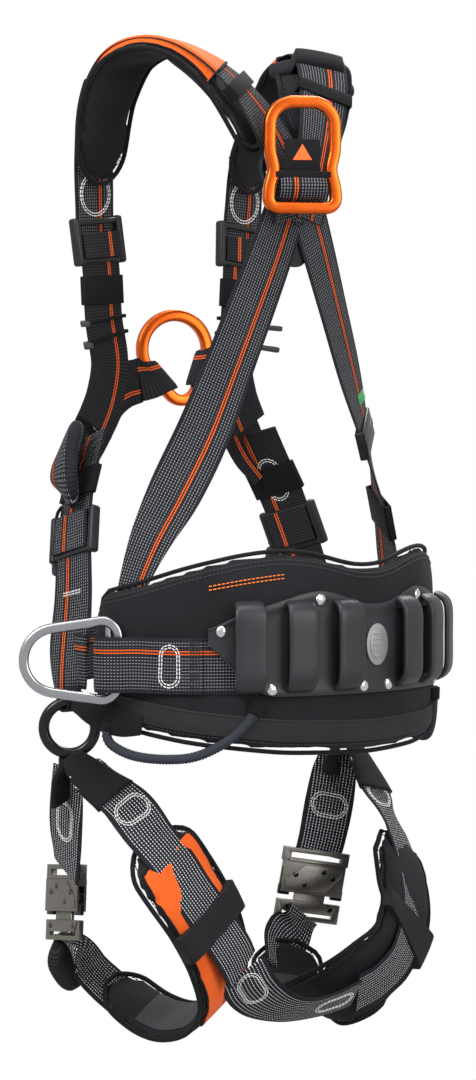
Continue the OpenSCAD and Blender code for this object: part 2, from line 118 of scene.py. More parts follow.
LEG_LEFT_ROUTE = [
    [-169, 14, -86, 0, 32], [-166, 2, -96, 0, 38], [-156, -22, -114], [-146, -40, -139],
    [-133, -52, -161], [-120, -60, -184], [-101, -66, -210], [-79, -69, -238], [-66, -66, -254]]
LEG_RIGHT_ROUTE = [
    [164, 14, -96, 0, 32], [164, 2, -108, 0, 38], [160, -20, -135], [162, -37, -162], [160, -51, -188],
    [151, -65, -214], [135, -76, -238], [112, -83, -262], [86, -83, -278], [62, -79, -287]]
SEAT_ROUTE = [
    [-65, -66, -256], [-48, -62, -274], [-21, -58, -289], [8, -62, -296], [36, -71, -293], [60, -79, -286]]
LEG_PAD_LEFT_ROUTE = [
    [-144, -30, -142, 0, 60], [-137, -41, -154, 0, 76], [-124, -50, -176, 0, 80], [-106, -57, -204, 0, 78],
    [-88, -58, -234, 0, 76], [-72, -50, -266, 0, 72], [-64, -26, -292, 0, 66], [-66, 4, -304, 0, 60],
    [-73, 30, -299, 0, 58], [-84, 52, -282, 0, 54], [-90, 62, -270, 0, 44]]
LEG_PAD_RIGHT_ROUTE = [
    [154, -30, -160, 0, 46], [154, -42, -178, 0, 66], [148, -56, -204, 0, 76], [134, -68, -230, 0, 80],
    [110, -75, -254, 0, 80], [84, -74, -272, 0, 76], [68, -62, -286, 0, 70], [62, -36, -298, 0, 64],
    [68, -6, -300, -20, 60], [82, 18, -288, -40, 58], [98, 32, -268, -60, 58], [104, 37, -256, -60, 46]]
LEG_FRONT_LEFT_ROUTE = [
    [-163, 40, -90, 0, 30], [-156, 46, -106, 0, 38], [-148, 56, -136], [-141, 63, -160], [-134, 70, -178]]
LEG_FRONT_RIGHT_ROUTE = [
    [158, 30, -96, 0, 30], [155, 29, -112, 0, 40], [148, 29, -140], [142, 31, -168], [138, 33, -184]]
LEG_LOWER_LEFT_ROUTE = [
    [-126, 79, -238, -50, 36], [-118, 79, -246, -20, 40], [-108, 78, -252, 0, 42], [-98, 74, -266],
    [-90, 68, -276], [-82, 56, -288]]
LEG_LOWER_RIGHT_ROUTE = [
    [126, 39, -236, 0, 42], [118, 42, -248, 0, 42], [106, 44, -256], [94, 40, -266], [82, 28, -280]]
# The left pull cord's route, in metres; the right one mirrors it.
PULL_CORD_ROUTE = [
    [-0.128, 0.080, 0.124], [-0.130, 0.083, 0.119], [-0.131, 0.084, 0.112], [-0.131, 0.084, 0.104],
    [-0.131, 0.084, 0.096], [-0.131, 0.084, 0.086]]
PULL_CORD_D = 0.003

BACK_C = (0, 150, 0)
BEHIND = (0, -2000, 0)
CHEST_C = (0, 0, 400)
SIDE_C = (0, 45, 0)
LEFT_LEG = (-105, 5, -215)
RIGHT_LEG = (142, -10, -212)

# Heights of the belt's edges, as (angle from the middle of the back, z).
PAD_TOP = [(0, 78), (8, 80), (18, 88), (30, 92), (42, 89), (60, 79), (80, 65), (102, 55)]
PAD_BOTTOM = [(0, -74), (30, -71), (60, -62), (102, -44)]
PLATE_TOP = [(0, 46), (8, 49), (16, 59), (22, 60), (34, 50), (46, 40), (54, 28)]
PLATE_BOTTOM = [(0, -25), (38, -25), (46, -8), (54, 22)]
CLEARANCE = 0.2
WEBBING_GAP = (PAD_T + WEBBING_T) / 2 + CLEARANCE
PLATE_GAP = WEBBING_GAP + (WEBBING_T + PLATE_T) / 2 + CLEARANCE
LOOP_ANGLES = [-42, -27, -12, 12, 26, 39]
RIVETS = [(-50, 28), (-35, -19), (-20, 52), (-5, -19), (5, -19), (20, 52), (35, -19), (48, 28)]
SIDE_BAR = (-184, -30, 4)
DORSAL_BAR = (-24, -94, 369)
STERNAL_MIDDLE = (7, 78, 246)
HIP_RING = (-163, 36, -55)


# ---------------------------------------------------------------- geometry
def unit(v):
    v = np.asarray(v, float)
    return v / np.linalg.norm(v, axis=-1, keepdims=True)


def mirrored(route):
    return [[-p[0], p[1], p[2]] + ([-p[3]] + list(p[4:]) if len(p) > 3 else []) for p in route]


def smooth(route, n, width=45):
    """The route with n rings from one of its points to the next."""
    q = np.array([list(p[:3]) + [p[3] if len(p) > 3 else 0, p[4] if len(p) > 4 else width] for p in route],
                 float)
    e = np.vstack([2 * q[0] - q[1], q, 2 * q[-1] - q[-2]])
    rows = []
    for i in range(len(q) - 1):
        a, b, c, d = e[i:i + 4]
        for k in range(n):
            t = k / n
            rows.append((2 * b + (c - a) * t + (2 * a - 5 * b + 4 * c - d) * t ** 2
                         + (3 * b - a - 3 * c + d) * t ** 3) / 2)
    return np.array(rows + [q[-1]])


class Lay:
    """How a strap lies: points, the way across (B) and out (F), widths and the length so far, in metres."""

    def __init__(self, p, f, b, w):
        self.p, self.f, self.b, self.w = p, f, b, w
        self.s = np.concatenate([[0], np.cumsum(np.linalg.norm(np.diff(p, axis=0), axis=1))])
        self.length = self.s[-1]

    @classmethod
    def along(cls, route, centre, axis, n=10, width=45):
        rows = smooth(route, n, width)
        p = rows[:, :3]
        d = np.vstack([p[1] - p[0], p[2:] - p[:-2], p[-1] - p[-2]])
        d = unit(d)
        v = p - np.array(centre, float)
        a = np.array(axis, float)
        r = v - np.outer(v @ a, a)
        out = unit(r - np.sum(r * d, axis=1)[:, None] * d)
        turn = np.radians(rows[:, 3])[:, None]
        f = out * np.cos(turn) + np.cross(d, out) * np.sin(turn)
        return cls(p * MM, f, np.cross(d, f), rows[:, 4] * MM)

    def look(self, s):
        pick = lambda m: np.array([np.interp(s, self.s, m[:, k]) for k in range(3)])
        return pick(self.p), unit(pick(self.f)), unit(pick(self.b)), float(np.interp(s, self.s, self.w))

    def at(self, s, u=0.0, h=0.0):
        p, f, b, _ = self.look(s)
        return p + b * u + f * h

    def part(self, start, stop, n=40):
        ss = np.linspace(start, stop, n)
        got = [self.look(s) for s in ss]
        lay = Lay(*[np.array([g[k] for g in got]) for k in range(3)], np.array([g[3] for g in got]))
        lay.s = ss
        return lay


def belt_at(angle, z, gap=0.0):
    a = math.radians(angle)
    n = unit([math.sin(a) / HALF_W, -math.cos(a) / HALF_D, 0])
    return np.array([WAIST[0] + HALF_W * math.sin(a), WAIST[1] - HALF_D * math.cos(a), z]) + n * gap, n


def even(table, angles, soften):
    """Heights read from a table, with its corners rounded over a few degrees."""
    far = np.linspace(-soften, soften, 9)
    return np.mean([np.interp(np.abs(angles + k), *np.array(table).T) for k in far], axis=0)


def belt_lay(start, stop, step, low, high, gap):
    angles = np.arange(start, stop + step / 2, step)
    lo = np.full(len(angles), low, float) if np.isscalar(low) else even(low, angles, 5)
    hi = np.full(len(angles), high, float) if np.isscalar(high) else even(high, angles, 5)
    got = [belt_at(a, (l + h) / 2, gap) for a, l, h in zip(angles, lo, hi)]
    p = np.array([g[0] for g in got])
    f = np.array([g[1] for g in got])
    d = unit(np.vstack([p[1] - p[0], p[2:] - p[:-2], p[-1] - p[-2]]) * [1, 1, 0])
    return Lay(p * MM, f, np.cross(d, f), (hi - lo) * MM)


def mesh_of(name, verts, faces, uvs=None):
    mesh = bpy.data.meshes.new(name)
    mesh.from_pydata([tuple(v) for v in verts], [], faces)
    if uvs is not None:
        layer = mesh.uv_layers.new(name="UVMap")
        flat = np.array([uvs[loop.vertex_index] for loop in mesh.loops], np.float32)
        layer.data.foreach_set("uv", flat.ravel())
    mesh.validate()
    b = bmesh.new()
    b.from_mesh(mesh)
    bmesh.ops.recalc_face_normals(b, faces=b.faces)
    b.to_mesh(mesh)
    b.free()
    obj = bpy.data.objects.new(name, mesh)
    bpy.context.scene.collection.objects.link(obj)
    return obj


def shade(obj, angle=40):
    for poly in obj.data.polygons:
        poly.use_smooth = True
    if angle:
        b = bmesh.new()
        b.from_mesh(obj.data)
        limit = math.radians(angle)
        for e in b.edges:
            e.smooth = len(e.link_faces) != 2 or e.calc_face_angle(0) < limit
        b.to_mesh(obj.data)
        b.free()
    return obj


def loft(name, lay, section, t, ends=None, closed=False):
    """A closed solid swept along a lay.

    section holds (across, out) from -0.5 to 0.5, and ends scales each ring.
    """
    m, k = len(section), len(lay.p)
    scale = np.ones(k) if ends is None else ends
    verts, uvs = [], []
    for i in range(k):
        for q in section:
            verts.append(lay.p[i] + lay.b[i] * q[0] * lay.w[i] * scale[i] + lay.f[i] * q[1] * t * scale[i])
            uvs.append((q[0] * lay.w[i] * scale[i], lay.s[i]))
    faces = []
    for i in range(k if closed else k - 1):
        for j in range(m):
            a, b = i * m + j, i * m + (j + 1) % m
            c, d = (i + 1) % k * m + (j + 1) % m, (i + 1) % k * m + j
            faces.append((a, b, c, d))
    if not closed:
        faces += [tuple(range(m)), tuple(range((k - 1) * m, k * m))]
    return mesh_of(name, verts, faces, uvs)


def flat_section(cells=10):
    q = np.linspace(-0.5, 0.5, cells + 1)
    top = [(x, 0.5 if 0 < i < cells else 0.2) for i, x in enumerate(q)]
    return top + [(x, -h) for x, h in reversed(top)]


def soft_section(n=28):
    a = (np.arange(n) + 0.5) * 2 * math.pi / n
    c, s = np.cos(a), np.sin(a)
    return list(zip(0.5 * np.sign(c) * np.abs(c) ** 0.5, 0.5 * np.sign(s) * np.abs(s) ** 0.75))


def box_section(n=24, power=0.45):
    a = (np.arange(n) + 0.5) * 2 * math.pi / n
    c, s = np.cos(a), np.sin(a)
    return list(zip(0.5 * np.sign(c) * np.abs(c) ** power, 0.5 * np.sign(s) * np.abs(s) ** power))


def strap(name, lay, t=2.2, cells=10):
    return shade(loft(name, lay, flat_section(cells), t * MM), 60)


def tube(name, points, radius, closed=False, sides=10):
    p = np.array(points, float)
    n = len(p)
    if closed:
        d = unit(np.roll(p, -1, 0) - np.roll(p, 1, 0))
    else:
        d = unit(np.vstack([p[1] - p[0], p[2:] - p[:-2], p[-1] - p[-2]]))
    side = unit(np.cross(d[0], (0.3, 0.5, 0.8)))
    sides_at = []
    for i in range(n):
        side = unit(side - (side @ d[i]) * d[i])
        sides_at.append(side)
    sides_at = np.array(sides_at)
    lay = Lay(p, np.cross(d, sides_at), sides_at, np.full(n, 2 * radius))
    a = np.arange(sides) * 2 * math.pi / sides
    ring = list(zip(0.5 * np.cos(a), 0.5 * np.sin(a)))
    if closed:
        last = np.array([lay.p[-1] + lay.b[-1] * q[0] * 2 * radius + lay.f[-1] * q[1] * 2 * radius
                         for q in ring])
        first = np.array([lay.p[0] + lay.b[0] * q[0] * 2 * radius + lay.f[0] * q[1] * 2 * radius
                          for q in ring])
        turns = [np.linalg.norm(np.roll(first, -k, 0) - last).sum() for k in range(sides)]
        shift = int(np.argmin(turns))
        twist = -2 * math.pi * shift / sides
        for i in range(n):
            t = -twist * i / n
            f, b = lay.f[i].copy(), lay.b[i].copy()
            lay.b[i] = b * math.cos(t) + f * math.sin(t)
            lay.f[i] = f * math.cos(t) - b * math.sin(t)
    return shade(loft(name, lay, ring, 2 * radius, closed=closed), 0)


def join(name, objs):
    """One object out of several, with their materials."""
    b = bmesh.new()
    materials = []
    b.loops.layers.uv.new("UVMap")
    for o in objs:
        start = len(b.faces)
        b.from_mesh(o.data)
        b.faces.ensure_lookup_table()
        for m in o.data.materials:
            if m not in materials:
                materials.append(m)
        for f in b.faces[start:]:
            if o.data.materials:
                f.material_index = materials.index(o.data.materials[f.material_index])
    mesh = bpy.data.meshes.new(name)
    b.to_mesh(mesh)
    b.free()
    for m in materials:
        mesh.materials.append(m)
    for o in objs:
        old = o.data
        bpy.data.objects.remove(o)
        if old.users == 0:
            bpy.data.meshes.remove(old)
    obj = bpy.data.objects.new(name, mesh)
    bpy.context.scene.collection.objects.link(obj)
    return obj


def settle(obj):
    """Applies the object's modifiers to its mesh."""
    bpy.context.view_layer.update()
    mesh = bpy.data.meshes.new_from_object(obj.evaluated_get(bpy.context.evaluated_depsgraph_get()))
    old = obj.data
    obj.modifiers.clear()
    obj.data = mesh
    if old.users == 0:
        bpy.data.meshes.remove(old)
    return obj


def bevel(obj, width, segments=2, angle=35):
    m = obj.modifiers.new("Bevel", "BEVEL")
    m.width, m.segments, m.limit_method = width * MM, segments, "ANGLE"
    m.angle_limit = math.radians(angle)
    m.harden_normals = False
    return settle(obj)


def subdivide(obj, levels=1):
    m = obj.modifiers.new("Subdivision", "SUBSURF")
    m.levels = m.render_levels = levels
    return settle(obj)


def place(obj, matrix):
    obj.data.transform(Matrix(matrix) if not isinstance(matrix, Matrix) else matrix)
    if Matrix(matrix).determinant() < 0:
        obj.data.flip_normals()
    return obj


MIRROR = Matrix.Diagonal((-1, 1, 1, 1))


def twin(obj, name):
    """The same piece on the wearer's other side."""
    other = bpy.data.objects.new(name, obj.data.copy())
    bpy.context.scene.collection.objects.link(other)
    return place(other, MIRROR)


def give(obj, body, nodes=(), slot=None, material=None):
    """Finishes a piece: its material, the body it rides on and the nodes it stands for."""
    if material is not None:
        obj.data.materials.clear()
        obj.data.materials.append(material)
    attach(obj, body)
    if nodes:
        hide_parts(*([nodes] if isinstance(nodes, str) else nodes))
    return obj


def refined(node, name, width=0.8, segments=2, angle=35, smooth_angle=35):
    """A copy of a CAD node with merged points and rounded edges."""
    source = frame["nodes"][node]
    mesh = source.data.copy()
    mesh.materials.clear()
    mesh.transform(source.matrix_world)
    b = bmesh.new()
    b.from_mesh(mesh)
    bmesh.ops.remove_doubles(b, verts=b.verts, dist=1e-6)
    bmesh.ops.dissolve_limit(b, angle_limit=math.radians(2), verts=b.verts, edges=b.edges)
    b.to_mesh(mesh)
    b.free()
    obj = bpy.data.objects.new(name, mesh)
    bpy.context.scene.collection.objects.link(obj)
    if width:
        bevel(obj, width, segments, angle)
    return shade(obj, smooth_angle)


# ---------------------------------------------------------------- materials
class Nodes:
    """A short hand for building a node tree."""

    def __init__(self, tree):
        self.tree = tree

    def add(self, kind, inputs=None, **settings):
        node = self.tree.nodes.new(kind)
        for k, v in settings.items():
            setattr(node, k, v)
        for k, v in (inputs or {}).items():
            self.put(node, k, v)
        return node

    def put(self, node, key, value):
        socket = node.inputs[key]
        if isinstance(value, bpy.types.NodeSocket):
            self.tree.links.new(value, socket)
        else:
            socket.default_value = value

    def math(self, operation, a, b=0.0, clamp=False):
        node = self.add("ShaderNodeMath", operation=operation, use_clamp=clamp)
        self.put(node, 0, a)
        self.put(node, 1, b)
        return node.outputs[0]

    def mix(self, share, a, b):
        node = self.add("ShaderNodeMix", data_type="RGBA")
        self.put(node, 0, share)
        self.put(node, 6, a)
        self.put(node, 7, b)
        return node.outputs[2]


def rgba(c, k=1.0):
    return (c[0] * k, c[1] * k, c[2] * k, 1.0)


def new_material(name, colour, roughness, metallic=0.0, **sockets):
    mat = bpy.data.materials.new(name)
    mat.use_nodes = True
    mat.diffuse_color = rgba(colour)
    n = Nodes(mat.node_tree)
    shader = mat.node_tree.nodes["Principled BSDF"]
    shader.inputs["Roughness"].default_value = roughness
    shader.inputs["Metallic"].default_value = metallic
    for k, v in sockets.items():
        shader.inputs[k.replace("_", " ")].default_value = v
    return mat, n, shader


def bump(n, shader, height, strength, distance):
    node = n.add("ShaderNodeBump", {"Strength": strength, "Distance": distance, "Height": height})
    n.put(shader, "Normal", node.outputs[0])


def noise(n, vector, scale, detail=3.0, rough=0.6):
    return n.add("ShaderNodeTexNoise",
                 {"Vector": vector, "Scale": scale, "Detail": detail, "Roughness": rough}).outputs[0]


def webbing(name, colour, lines=18, line_colour=(0.52, 0.53, 0.55), accents=(), ribs=0.0024, width=0.045,
            bright=0.55):
    """Woven webbing: cross ribs, dotted lines along it and bright accent lines at shares of its width."""
    mat, n, shader = new_material(name, colour, 0.85, Sheen_Weight=0.02, Sheen_Roughness=0.4,
                                  Specular_IOR_Level=0.1)
    coords = n.add("ShaderNodeTexCoord")
    uv = n.add("ShaderNodeSeparateXYZ", {0: coords.outputs["UV"]})
    u, v = uv.outputs[0], uv.outputs[1]
    cross = n.math("FRACT", n.math("DIVIDE", v, ribs))
    rib = n.math("PINGPONG", n.math("DIVIDE", v, ribs), 0.5)
    warp = n.math("PINGPONG", n.math("DIVIDE", u, 0.0016), 0.5)
    weave = n.math("ADD", n.math("MULTIPLY", rib, 1.4), n.math("MULTIPLY", warp, 0.6))
    grain = noise(n, coords.outputs["Object"], 900.0, 2.0)
    worn = noise(n, coords.outputs["Object"], 28.0, 4.0)
    shade_of = n.add("ShaderNodeMapRange", {0: worn, 1: 0.3, 2: 0.75, 3: 0.0, 4: 1.0}).outputs[0]
    result = n.mix(shade_of, rgba(colour, 0.75), rgba(colour, 1.25))
    # Painted shade: the grooves between the cross ribs, where the bump is low, are darkened.
    result = n.mix(n.math("MULTIPLY", n.math("SUBTRACT", 0.5, rib), 1.1, True), result, rgba(colour, 0.25))
    inside = n.math("LESS_THAN", n.math("ABSOLUTE", u), width * 0.42)
    dots = n.math("LESS_THAN", cross, 0.58)
    if lines:
        step = width / lines
        near = n.math("ABSOLUTE",
                      n.math("SUBTRACT",
                             n.math("FRACT",
                                    n.math("ADD", n.math("DIVIDE", u, step),
                                           0.5 * ((lines + 1) % 2) + 0.5)), 0.5))
        for share, _, _ in accents:
            clear = n.math("GREATER_THAN", n.math("ABSOLUTE", n.math("SUBTRACT", u, share * width)), 0.0031)
            inside = n.math("MULTIPLY", inside, clear)
        line = n.math("MULTIPLY", n.math("LESS_THAN", near, 0.105), n.math("MULTIPLY", dots, inside))
        result = n.mix(n.math("MULTIPLY", line, bright), result, rgba(line_colour))
    for share, tone, half in accents:
        far = n.math("ABSOLUTE", n.math("SUBTRACT", u, share * width))
        pair = n.math("LESS_THAN", n.math("ABSOLUTE", n.math("SUBTRACT", far, half)), 0.0005)
        result = n.mix(n.math("MULTIPLY", pair, n.math("ADD", n.math("MULTIPLY", dots, 0.35), 0.6)), result,
                       rgba(tone))
    n.put(shader, "Base Color", result)
    height = n.math("ADD", weave, n.math("MULTIPLY", grain, 0.35))
    bump(n, shader, height, 0.75, 0.0006)
    return mat


def cloth(name, colour, thread=0.0012, sheen=0.04, roughness=0.88, depth=0.0003, fleck=0.25):
    """Plain woven fabric on the piece's own place, so that it needs no unwrapping."""
    mat, n, shader = new_material(name, colour, roughness, Sheen_Weight=sheen, Sheen_Roughness=0.5,
                                  Specular_IOR_Level=0.12)
    coords = n.add("ShaderNodeTexCoord")
    xyz = n.add("ShaderNodeSeparateXYZ", {0: coords.outputs["Object"]})
    turns = [n.math("PINGPONG",
                    n.math("DIVIDE",
                           n.math("ADD", xyz.outputs[2], n.math("MULTIPLY", xyz.outputs[k], sign)), thread),
                           0.5)
             for k, sign in ((0, 1.0), (1, -1.0), (0, -1.0))]
    weave = n.math("ADD", n.math("MULTIPLY", turns[0], turns[1]), n.math("MULTIPLY", turns[2], 0.4))
    worn = noise(n, coords.outputs["Object"], 18.0, 5.0)
    grain = noise(n, coords.outputs["Object"], 1400.0, 2.0)
    spread = n.add("ShaderNodeMapRange", {0: worn, 1: 0.3, 2: 0.7, 3: 0.0, 4: 1.0}).outputs[0]
    result = n.mix(spread, rgba(colour, 1 - fleck), rgba(colour, 1 + fleck))
    # Painted shade: the gaps of the weave, where the bump is low, are darkened.
    result = n.mix(n.math("MULTIPLY", n.math("SUBTRACT", 0.6, weave, True), 0.5), result, rgba(colour, 0.45))
    n.put(shader, "Base Color", result)
    height = n.math("ADD", weave,
                    n.math("ADD", n.math("MULTIPLY", grain, 0.5), n.math("MULTIPLY", worn, 1.2)))
    bump(n, shader, height, 0.6, depth)
    return mat


def metal(name, colour, roughness=0.25, brushed=0.0, wear=0.25, metallic=1.0):
    mat, n, shader = new_material(name, colour, roughness, metallic)
    coords = n.add("ShaderNodeTexCoord")
    stretched = n.add("ShaderNodeMapping",
                      {0: coords.outputs["Object"], 3: (1.0, 1.0, 6.0) if brushed else (1.0, 1.0, 1.0)})
    fine = noise(n, stretched.outputs[0], 700.0, 3.0)
    marks = noise(n, coords.outputs["Object"], 60.0, 6.0, 0.7)
    scuffs = n.add("ShaderNodeMapRange", {0: marks, 1: 0.52, 2: 0.75, 3: 0.0, 4: wear}).outputs[0]
    n.put(shader, "Base Color", n.mix(scuffs, rgba(colour), rgba([min(1, c * 0.6 + 0.25) for c in colour])))
    n.put(shader, "Roughness", n.add("ShaderNodeMapRange",
                                     {0: marks, 1: 0.3, 2: 0.8, 3: roughness * 0.85,
                                      4: min(1, roughness * 1.3)}).outputs[0])
    bump(n, shader, n.math("ADD", fine, n.math("MULTIPLY", marks, 0.5)), 0.3 if brushed else 0.2, 0.00002)
    return mat


def plastic(name, colour, roughness=0.5, grain=700.0, depth=0.0001):
    mat, n, shader = new_material(name, colour, roughness, Specular_IOR_Level=0.35)
    coords = n.add("ShaderNodeTexCoord")
    fine = noise(n, coords.outputs["Object"], grain, 3.0)
    cloud = noise(n, coords.outputs["Object"], 22.0, 4.0)
    n.put(shader, "Base Color", n.mix(cloud, rgba(colour, 0.8), rgba(colour, 1.3)))
    n.put(shader, "Roughness", n.add("ShaderNodeMapRange",
                                     {0: cloud, 1: 0.3, 2: 0.7, 3: roughness * 0.85,
                                      4: min(1, roughness * 1.2)}).outputs[0])
    bump(n, shader, fine, 0.35, depth)
    return mat


def ribbed(name, colour, step=0.0024, along=1, roughness=0.8, depth=0.0005, accent=None):
    """Ribs across a piece's own length, as elastic and plain webbing have."""
    mat, n, shader = new_material(name, colour, roughness, Sheen_Weight=0.02, Specular_IOR_Level=0.12)
    coords = n.add("ShaderNodeTexCoord")
    uv = n.add("ShaderNodeSeparateXYZ", {0: coords.outputs["UV"]})
    rib = n.math("PINGPONG", n.math("DIVIDE", uv.outputs[along], step), 0.5)
    other = n.math("PINGPONG", n.math("DIVIDE", uv.outputs[1 - along], step * 0.7), 0.5)
    grain = noise(n, coords.outputs["Object"], 800.0, 2.0)
    # Painted highlight and shade: the tops of the ribs are lighter and the grooves darker, following the
    # bump.
    result = n.mix(n.math("MULTIPLY", rib, 2.0), rgba(colour, 0.45), rgba(colour, 1.35))
    if accent:
        share, tone = accent
        far = n.math("ABSOLUTE", n.math("SUBTRACT", uv.outputs[0], share * 0.045))
        pair = n.math("LESS_THAN", n.math("ABSOLUTE", n.math("SUBTRACT", far, 0.0011)), 0.0006)
        result = n.mix(n.math("MULTIPLY", pair, 0.9), result, rgba(tone))
    n.put(shader, "Base Color", result)
    height = n.math("ADD", n.math("MULTIPLY", rib, 2.0),
                    n.math("ADD", n.math("MULTIPLY", other, 0.5), n.math("MULTIPLY", grain, 0.4)))
    bump(n, shader, height, 0.8, depth)
    return mat


M = {}


def make_materials(look):
    charcoal = tuple(look.webbing_colour)
    orange = tuple(look.orange_colour)
    M["webbing"] = webbing("charcoal_webbing", charcoal, accents=[(0.14, orange, 0.0011)])
    M["back_webbing"] = webbing("back_webbing_weave", charcoal, accents=[(-0.15, orange, 0.0011)])
    M["belt_webbing"] = webbing("belt_webbing_weave", charcoal, accents=[(-0.24, orange, 0.0011)])
    M["belt_fold"] = webbing("belt_fold_weave", charcoal, accents=[(0.24, orange, 0.0011)])
    M["leg_webbing"] = webbing("leg_webbing_weave", charcoal, lines=15, line_colour=(0.9, 0.91, 0.93),
                               bright=0.8)
    M["plain_webbing"] = ribbed("plain_black_webbing", (0.02, 0.02, 0.023))
    M["lined_webbing"] = ribbed("black_webbing_with_line", (0.022, 0.022, 0.025), accent=(0.2, orange))
    M["lined_webbing_right"] = ribbed("black_webbing_with_line_right", (0.022, 0.022, 0.025),
                                      accent=(-0.2, orange))
    M["black_fabric"] = cloth("black_pad_fabric", (0.016, 0.016, 0.019), 0.0016)
    M["lining"] = cloth("black_pad_lining", (0.026, 0.026, 0.029), 0.0024)
    M["mesh"] = cloth("pad_spacer_mesh", (0.05, 0.05, 0.054), 0.0036, 0.03, 0.8, 0.0007, 0.1)
    M["orange_fabric"] = cloth("orange_pad_fabric", orange, 0.0014, 0.05, 0.8, 0.0003, 0.12)
    M["piping"] = cloth("black_binding", (0.011, 0.011, 0.013), 0.0011)
    M["elastic"] = ribbed("black_elastic", (0.018, 0.018, 0.021), 0.0018, 0)
    M["plate"] = plastic("moulded_plate_plastic", (0.02, 0.021, 0.024), 0.4)
    M["black_plastic"] = plastic("black_fitting_plastic", (0.012, 0.012, 0.014), 0.42)
    M["rubber"] = plastic("grey_tab_rubber", (0.03, 0.031, 0.034), 0.6, 500.0)
    M["orange_metal"] = metal("orange_anodised_aluminium", (0.8, 0.13, 0.016), 0.26, 0, 0.01)
    M["silver"] = metal("polished_aluminium", (0.44, 0.45, 0.47), 0.24, 1, 0.06)
    M["black_metal"] = metal("black_anodised_aluminium", (0.02, 0.02, 0.023), 0.14, 0, 0.1, 0.6)
    M["buckle"] = metal("dark_nickel_steel", (0.23, 0.215, 0.195), 0.38, 1, 0.04)
    M["rivet"] = metal("polished_rivet", (0.75, 0.75, 0.77), 0.18, 1, 0.1)
    M["gear_tube"] = ribbed("blue_grey_tube_cover", (0.075, 0.08, 0.105), 0.003)
    M["cord"] = ribbed("black_cord_braid", (0.014, 0.014, 0.016), 0.0014)
    M["white_thread"] = plastic("white_thread", (0.72, 0.72, 0.72), 0.6, 2500.0)
    M["black_thread"] = plastic("black_thread", (0.03, 0.03, 0.032), 0.6, 2500.0)
    M["orange_thread"] = plastic("orange_thread", (0.85, 0.2, 0.03), 0.6, 2500.0)
    M["buckle_dark"] = metal("dark_buckle_levers", (0.1, 0.095, 0.088), 0.2, 1, 0.05)
    M["badge"] = metal("badge_grey", (0.35, 0.35, 0.36), 0.4, 0, 0.2, 0.6)
    M["orange_mark"] = plastic("orange_print", orange, 0.5)
    M["green_mark"] = cloth("green_patch", (0.05, 0.36, 0.12), 0.0008, 0.1, 0.6)


# ---------------------------------------------------------------- geometry nodes
def new_tree(name, sockets):
    tree = bpy.data.node_groups.new(name, "GeometryNodeTree")
    tree.interface.new_socket("Geometry", in_out="INPUT", socket_type="NodeSocketGeometry")
    for label, kind, value in sockets:
        s = tree.interface.new_socket(label, in_out="INPUT", socket_type=kind)
        if value is not None:
            s.default_value = value
    tree.interface.new_socket("Geometry", in_out="OUTPUT", socket_type="NodeSocketGeometry")
    n = Nodes(tree)
    return tree, n, n.add("NodeGroupInput"), n.add("NodeGroupOutput")


def run_tree(obj, tree, values):
    """Runs a tree on an object with the values given by input name, and keeps the plain mesh."""
    m = obj.modifiers.new(tree.name, "NODES")
    m.node_group = tree
    ids = {i.name: i.identifier for i in tree.interface.items_tree
           if i.item_type == "SOCKET" and i.in_out == "INPUT"}
    for k, v in values.items():
        m[ids[k]] = v
    return settle(obj)


def stitch_tree():
    tree, n, given, out = new_tree("Stitching", [
        ("Spacing", "NodeSocketFloat", 0.003), ("Length", "NodeSocketFloat", 0.0024),
        ("Radius", "NodeSocketFloat", 0.00045), ("Thread", "NodeSocketMaterial", None)])
    curve = n.add("GeometryNodeMeshToCurve", {0: given.outputs["Geometry"]})
    even_run = n.add("GeometryNodeResampleCurve",
                     {"Curve": curve.outputs[0], "Length": given.outputs["Spacing"]}, mode="LENGTH")
    tangent = n.add("GeometryNodeInputTangent")
    turn = n.add("FunctionNodeAlignRotationToVector", {"Vector": tangent.outputs[0]}, axis="Z")
    thread = n.add("GeometryNodeMeshCylinder",
                   {"Vertices": 6, "Radius": given.outputs["Radius"], "Depth": given.outputs["Length"]})
    put = n.add("GeometryNodeInstanceOnPoints",
                {"Points": even_run.outputs[0], "Instance": thread.outputs[0], "Rotation": turn.outputs[0]})
    real = n.add("GeometryNodeRealizeInstances", {0: put.outputs[0]})
    finish = n.add("GeometryNodeSetMaterial",
                   {"Geometry": real.outputs[0], "Material": given.outputs["Thread"]})
    n.put(out, 0, finish.outputs[0])
    return tree


def tube_tree():
    tree, n, given, out = new_tree("Ribbed tube", [
        ("Radius", "NodeSocketFloat", 0.004), ("Rib", "NodeSocketFloat", 0.0012),
        ("Depth", "NodeSocketFloat", 0.12),
        ("Cover", "NodeSocketMaterial", None)])
    curve = n.add("GeometryNodeMeshToCurve", {0: given.outputs["Geometry"]})
    run = n.add("GeometryNodeResampleCurve", {"Curve": curve.outputs[0], "Length": given.outputs["Rib"]},
                mode="LENGTH")
    index = n.add("GeometryNodeInputIndex")
    odd = n.add("ShaderNodeMath", {0: index.outputs[0], 1: 2.0}, operation="MODULO")
    drop = n.add("ShaderNodeMath", {0: odd.outputs[0], 1: given.outputs["Depth"]}, operation="MULTIPLY")
    share = n.add("ShaderNodeMath", {0: 1.0, 1: drop.outputs[0]}, operation="SUBTRACT")
    radius = n.add("ShaderNodeMath", {0: share.outputs[0], 1: given.outputs["Radius"]}, operation="MULTIPLY")
    ring = n.add("GeometryNodeCurvePrimitiveCircle", {"Resolution": 14, "Radius": 1.0})
    sized = n.add("GeometryNodeSetCurveRadius", {"Curve": run.outputs[0], "Radius": radius.outputs[0]})
    body = n.add("GeometryNodeCurveToMesh",
                 {"Curve": sized.outputs[0], "Profile Curve": ring.outputs[0], "Fill Caps": True})
    if "Scale" in body.inputs:
        n.put(body, "Scale", radius.outputs[0])
    real = n.add("GeometryNodeRealizeInstances", {0: body.outputs[0]})
    finish = n.add("GeometryNodeSetMaterial",
                   {"Geometry": real.outputs[0], "Material": given.outputs["Cover"]})
    n.put(out, 0, finish.outputs[0])
    return tree


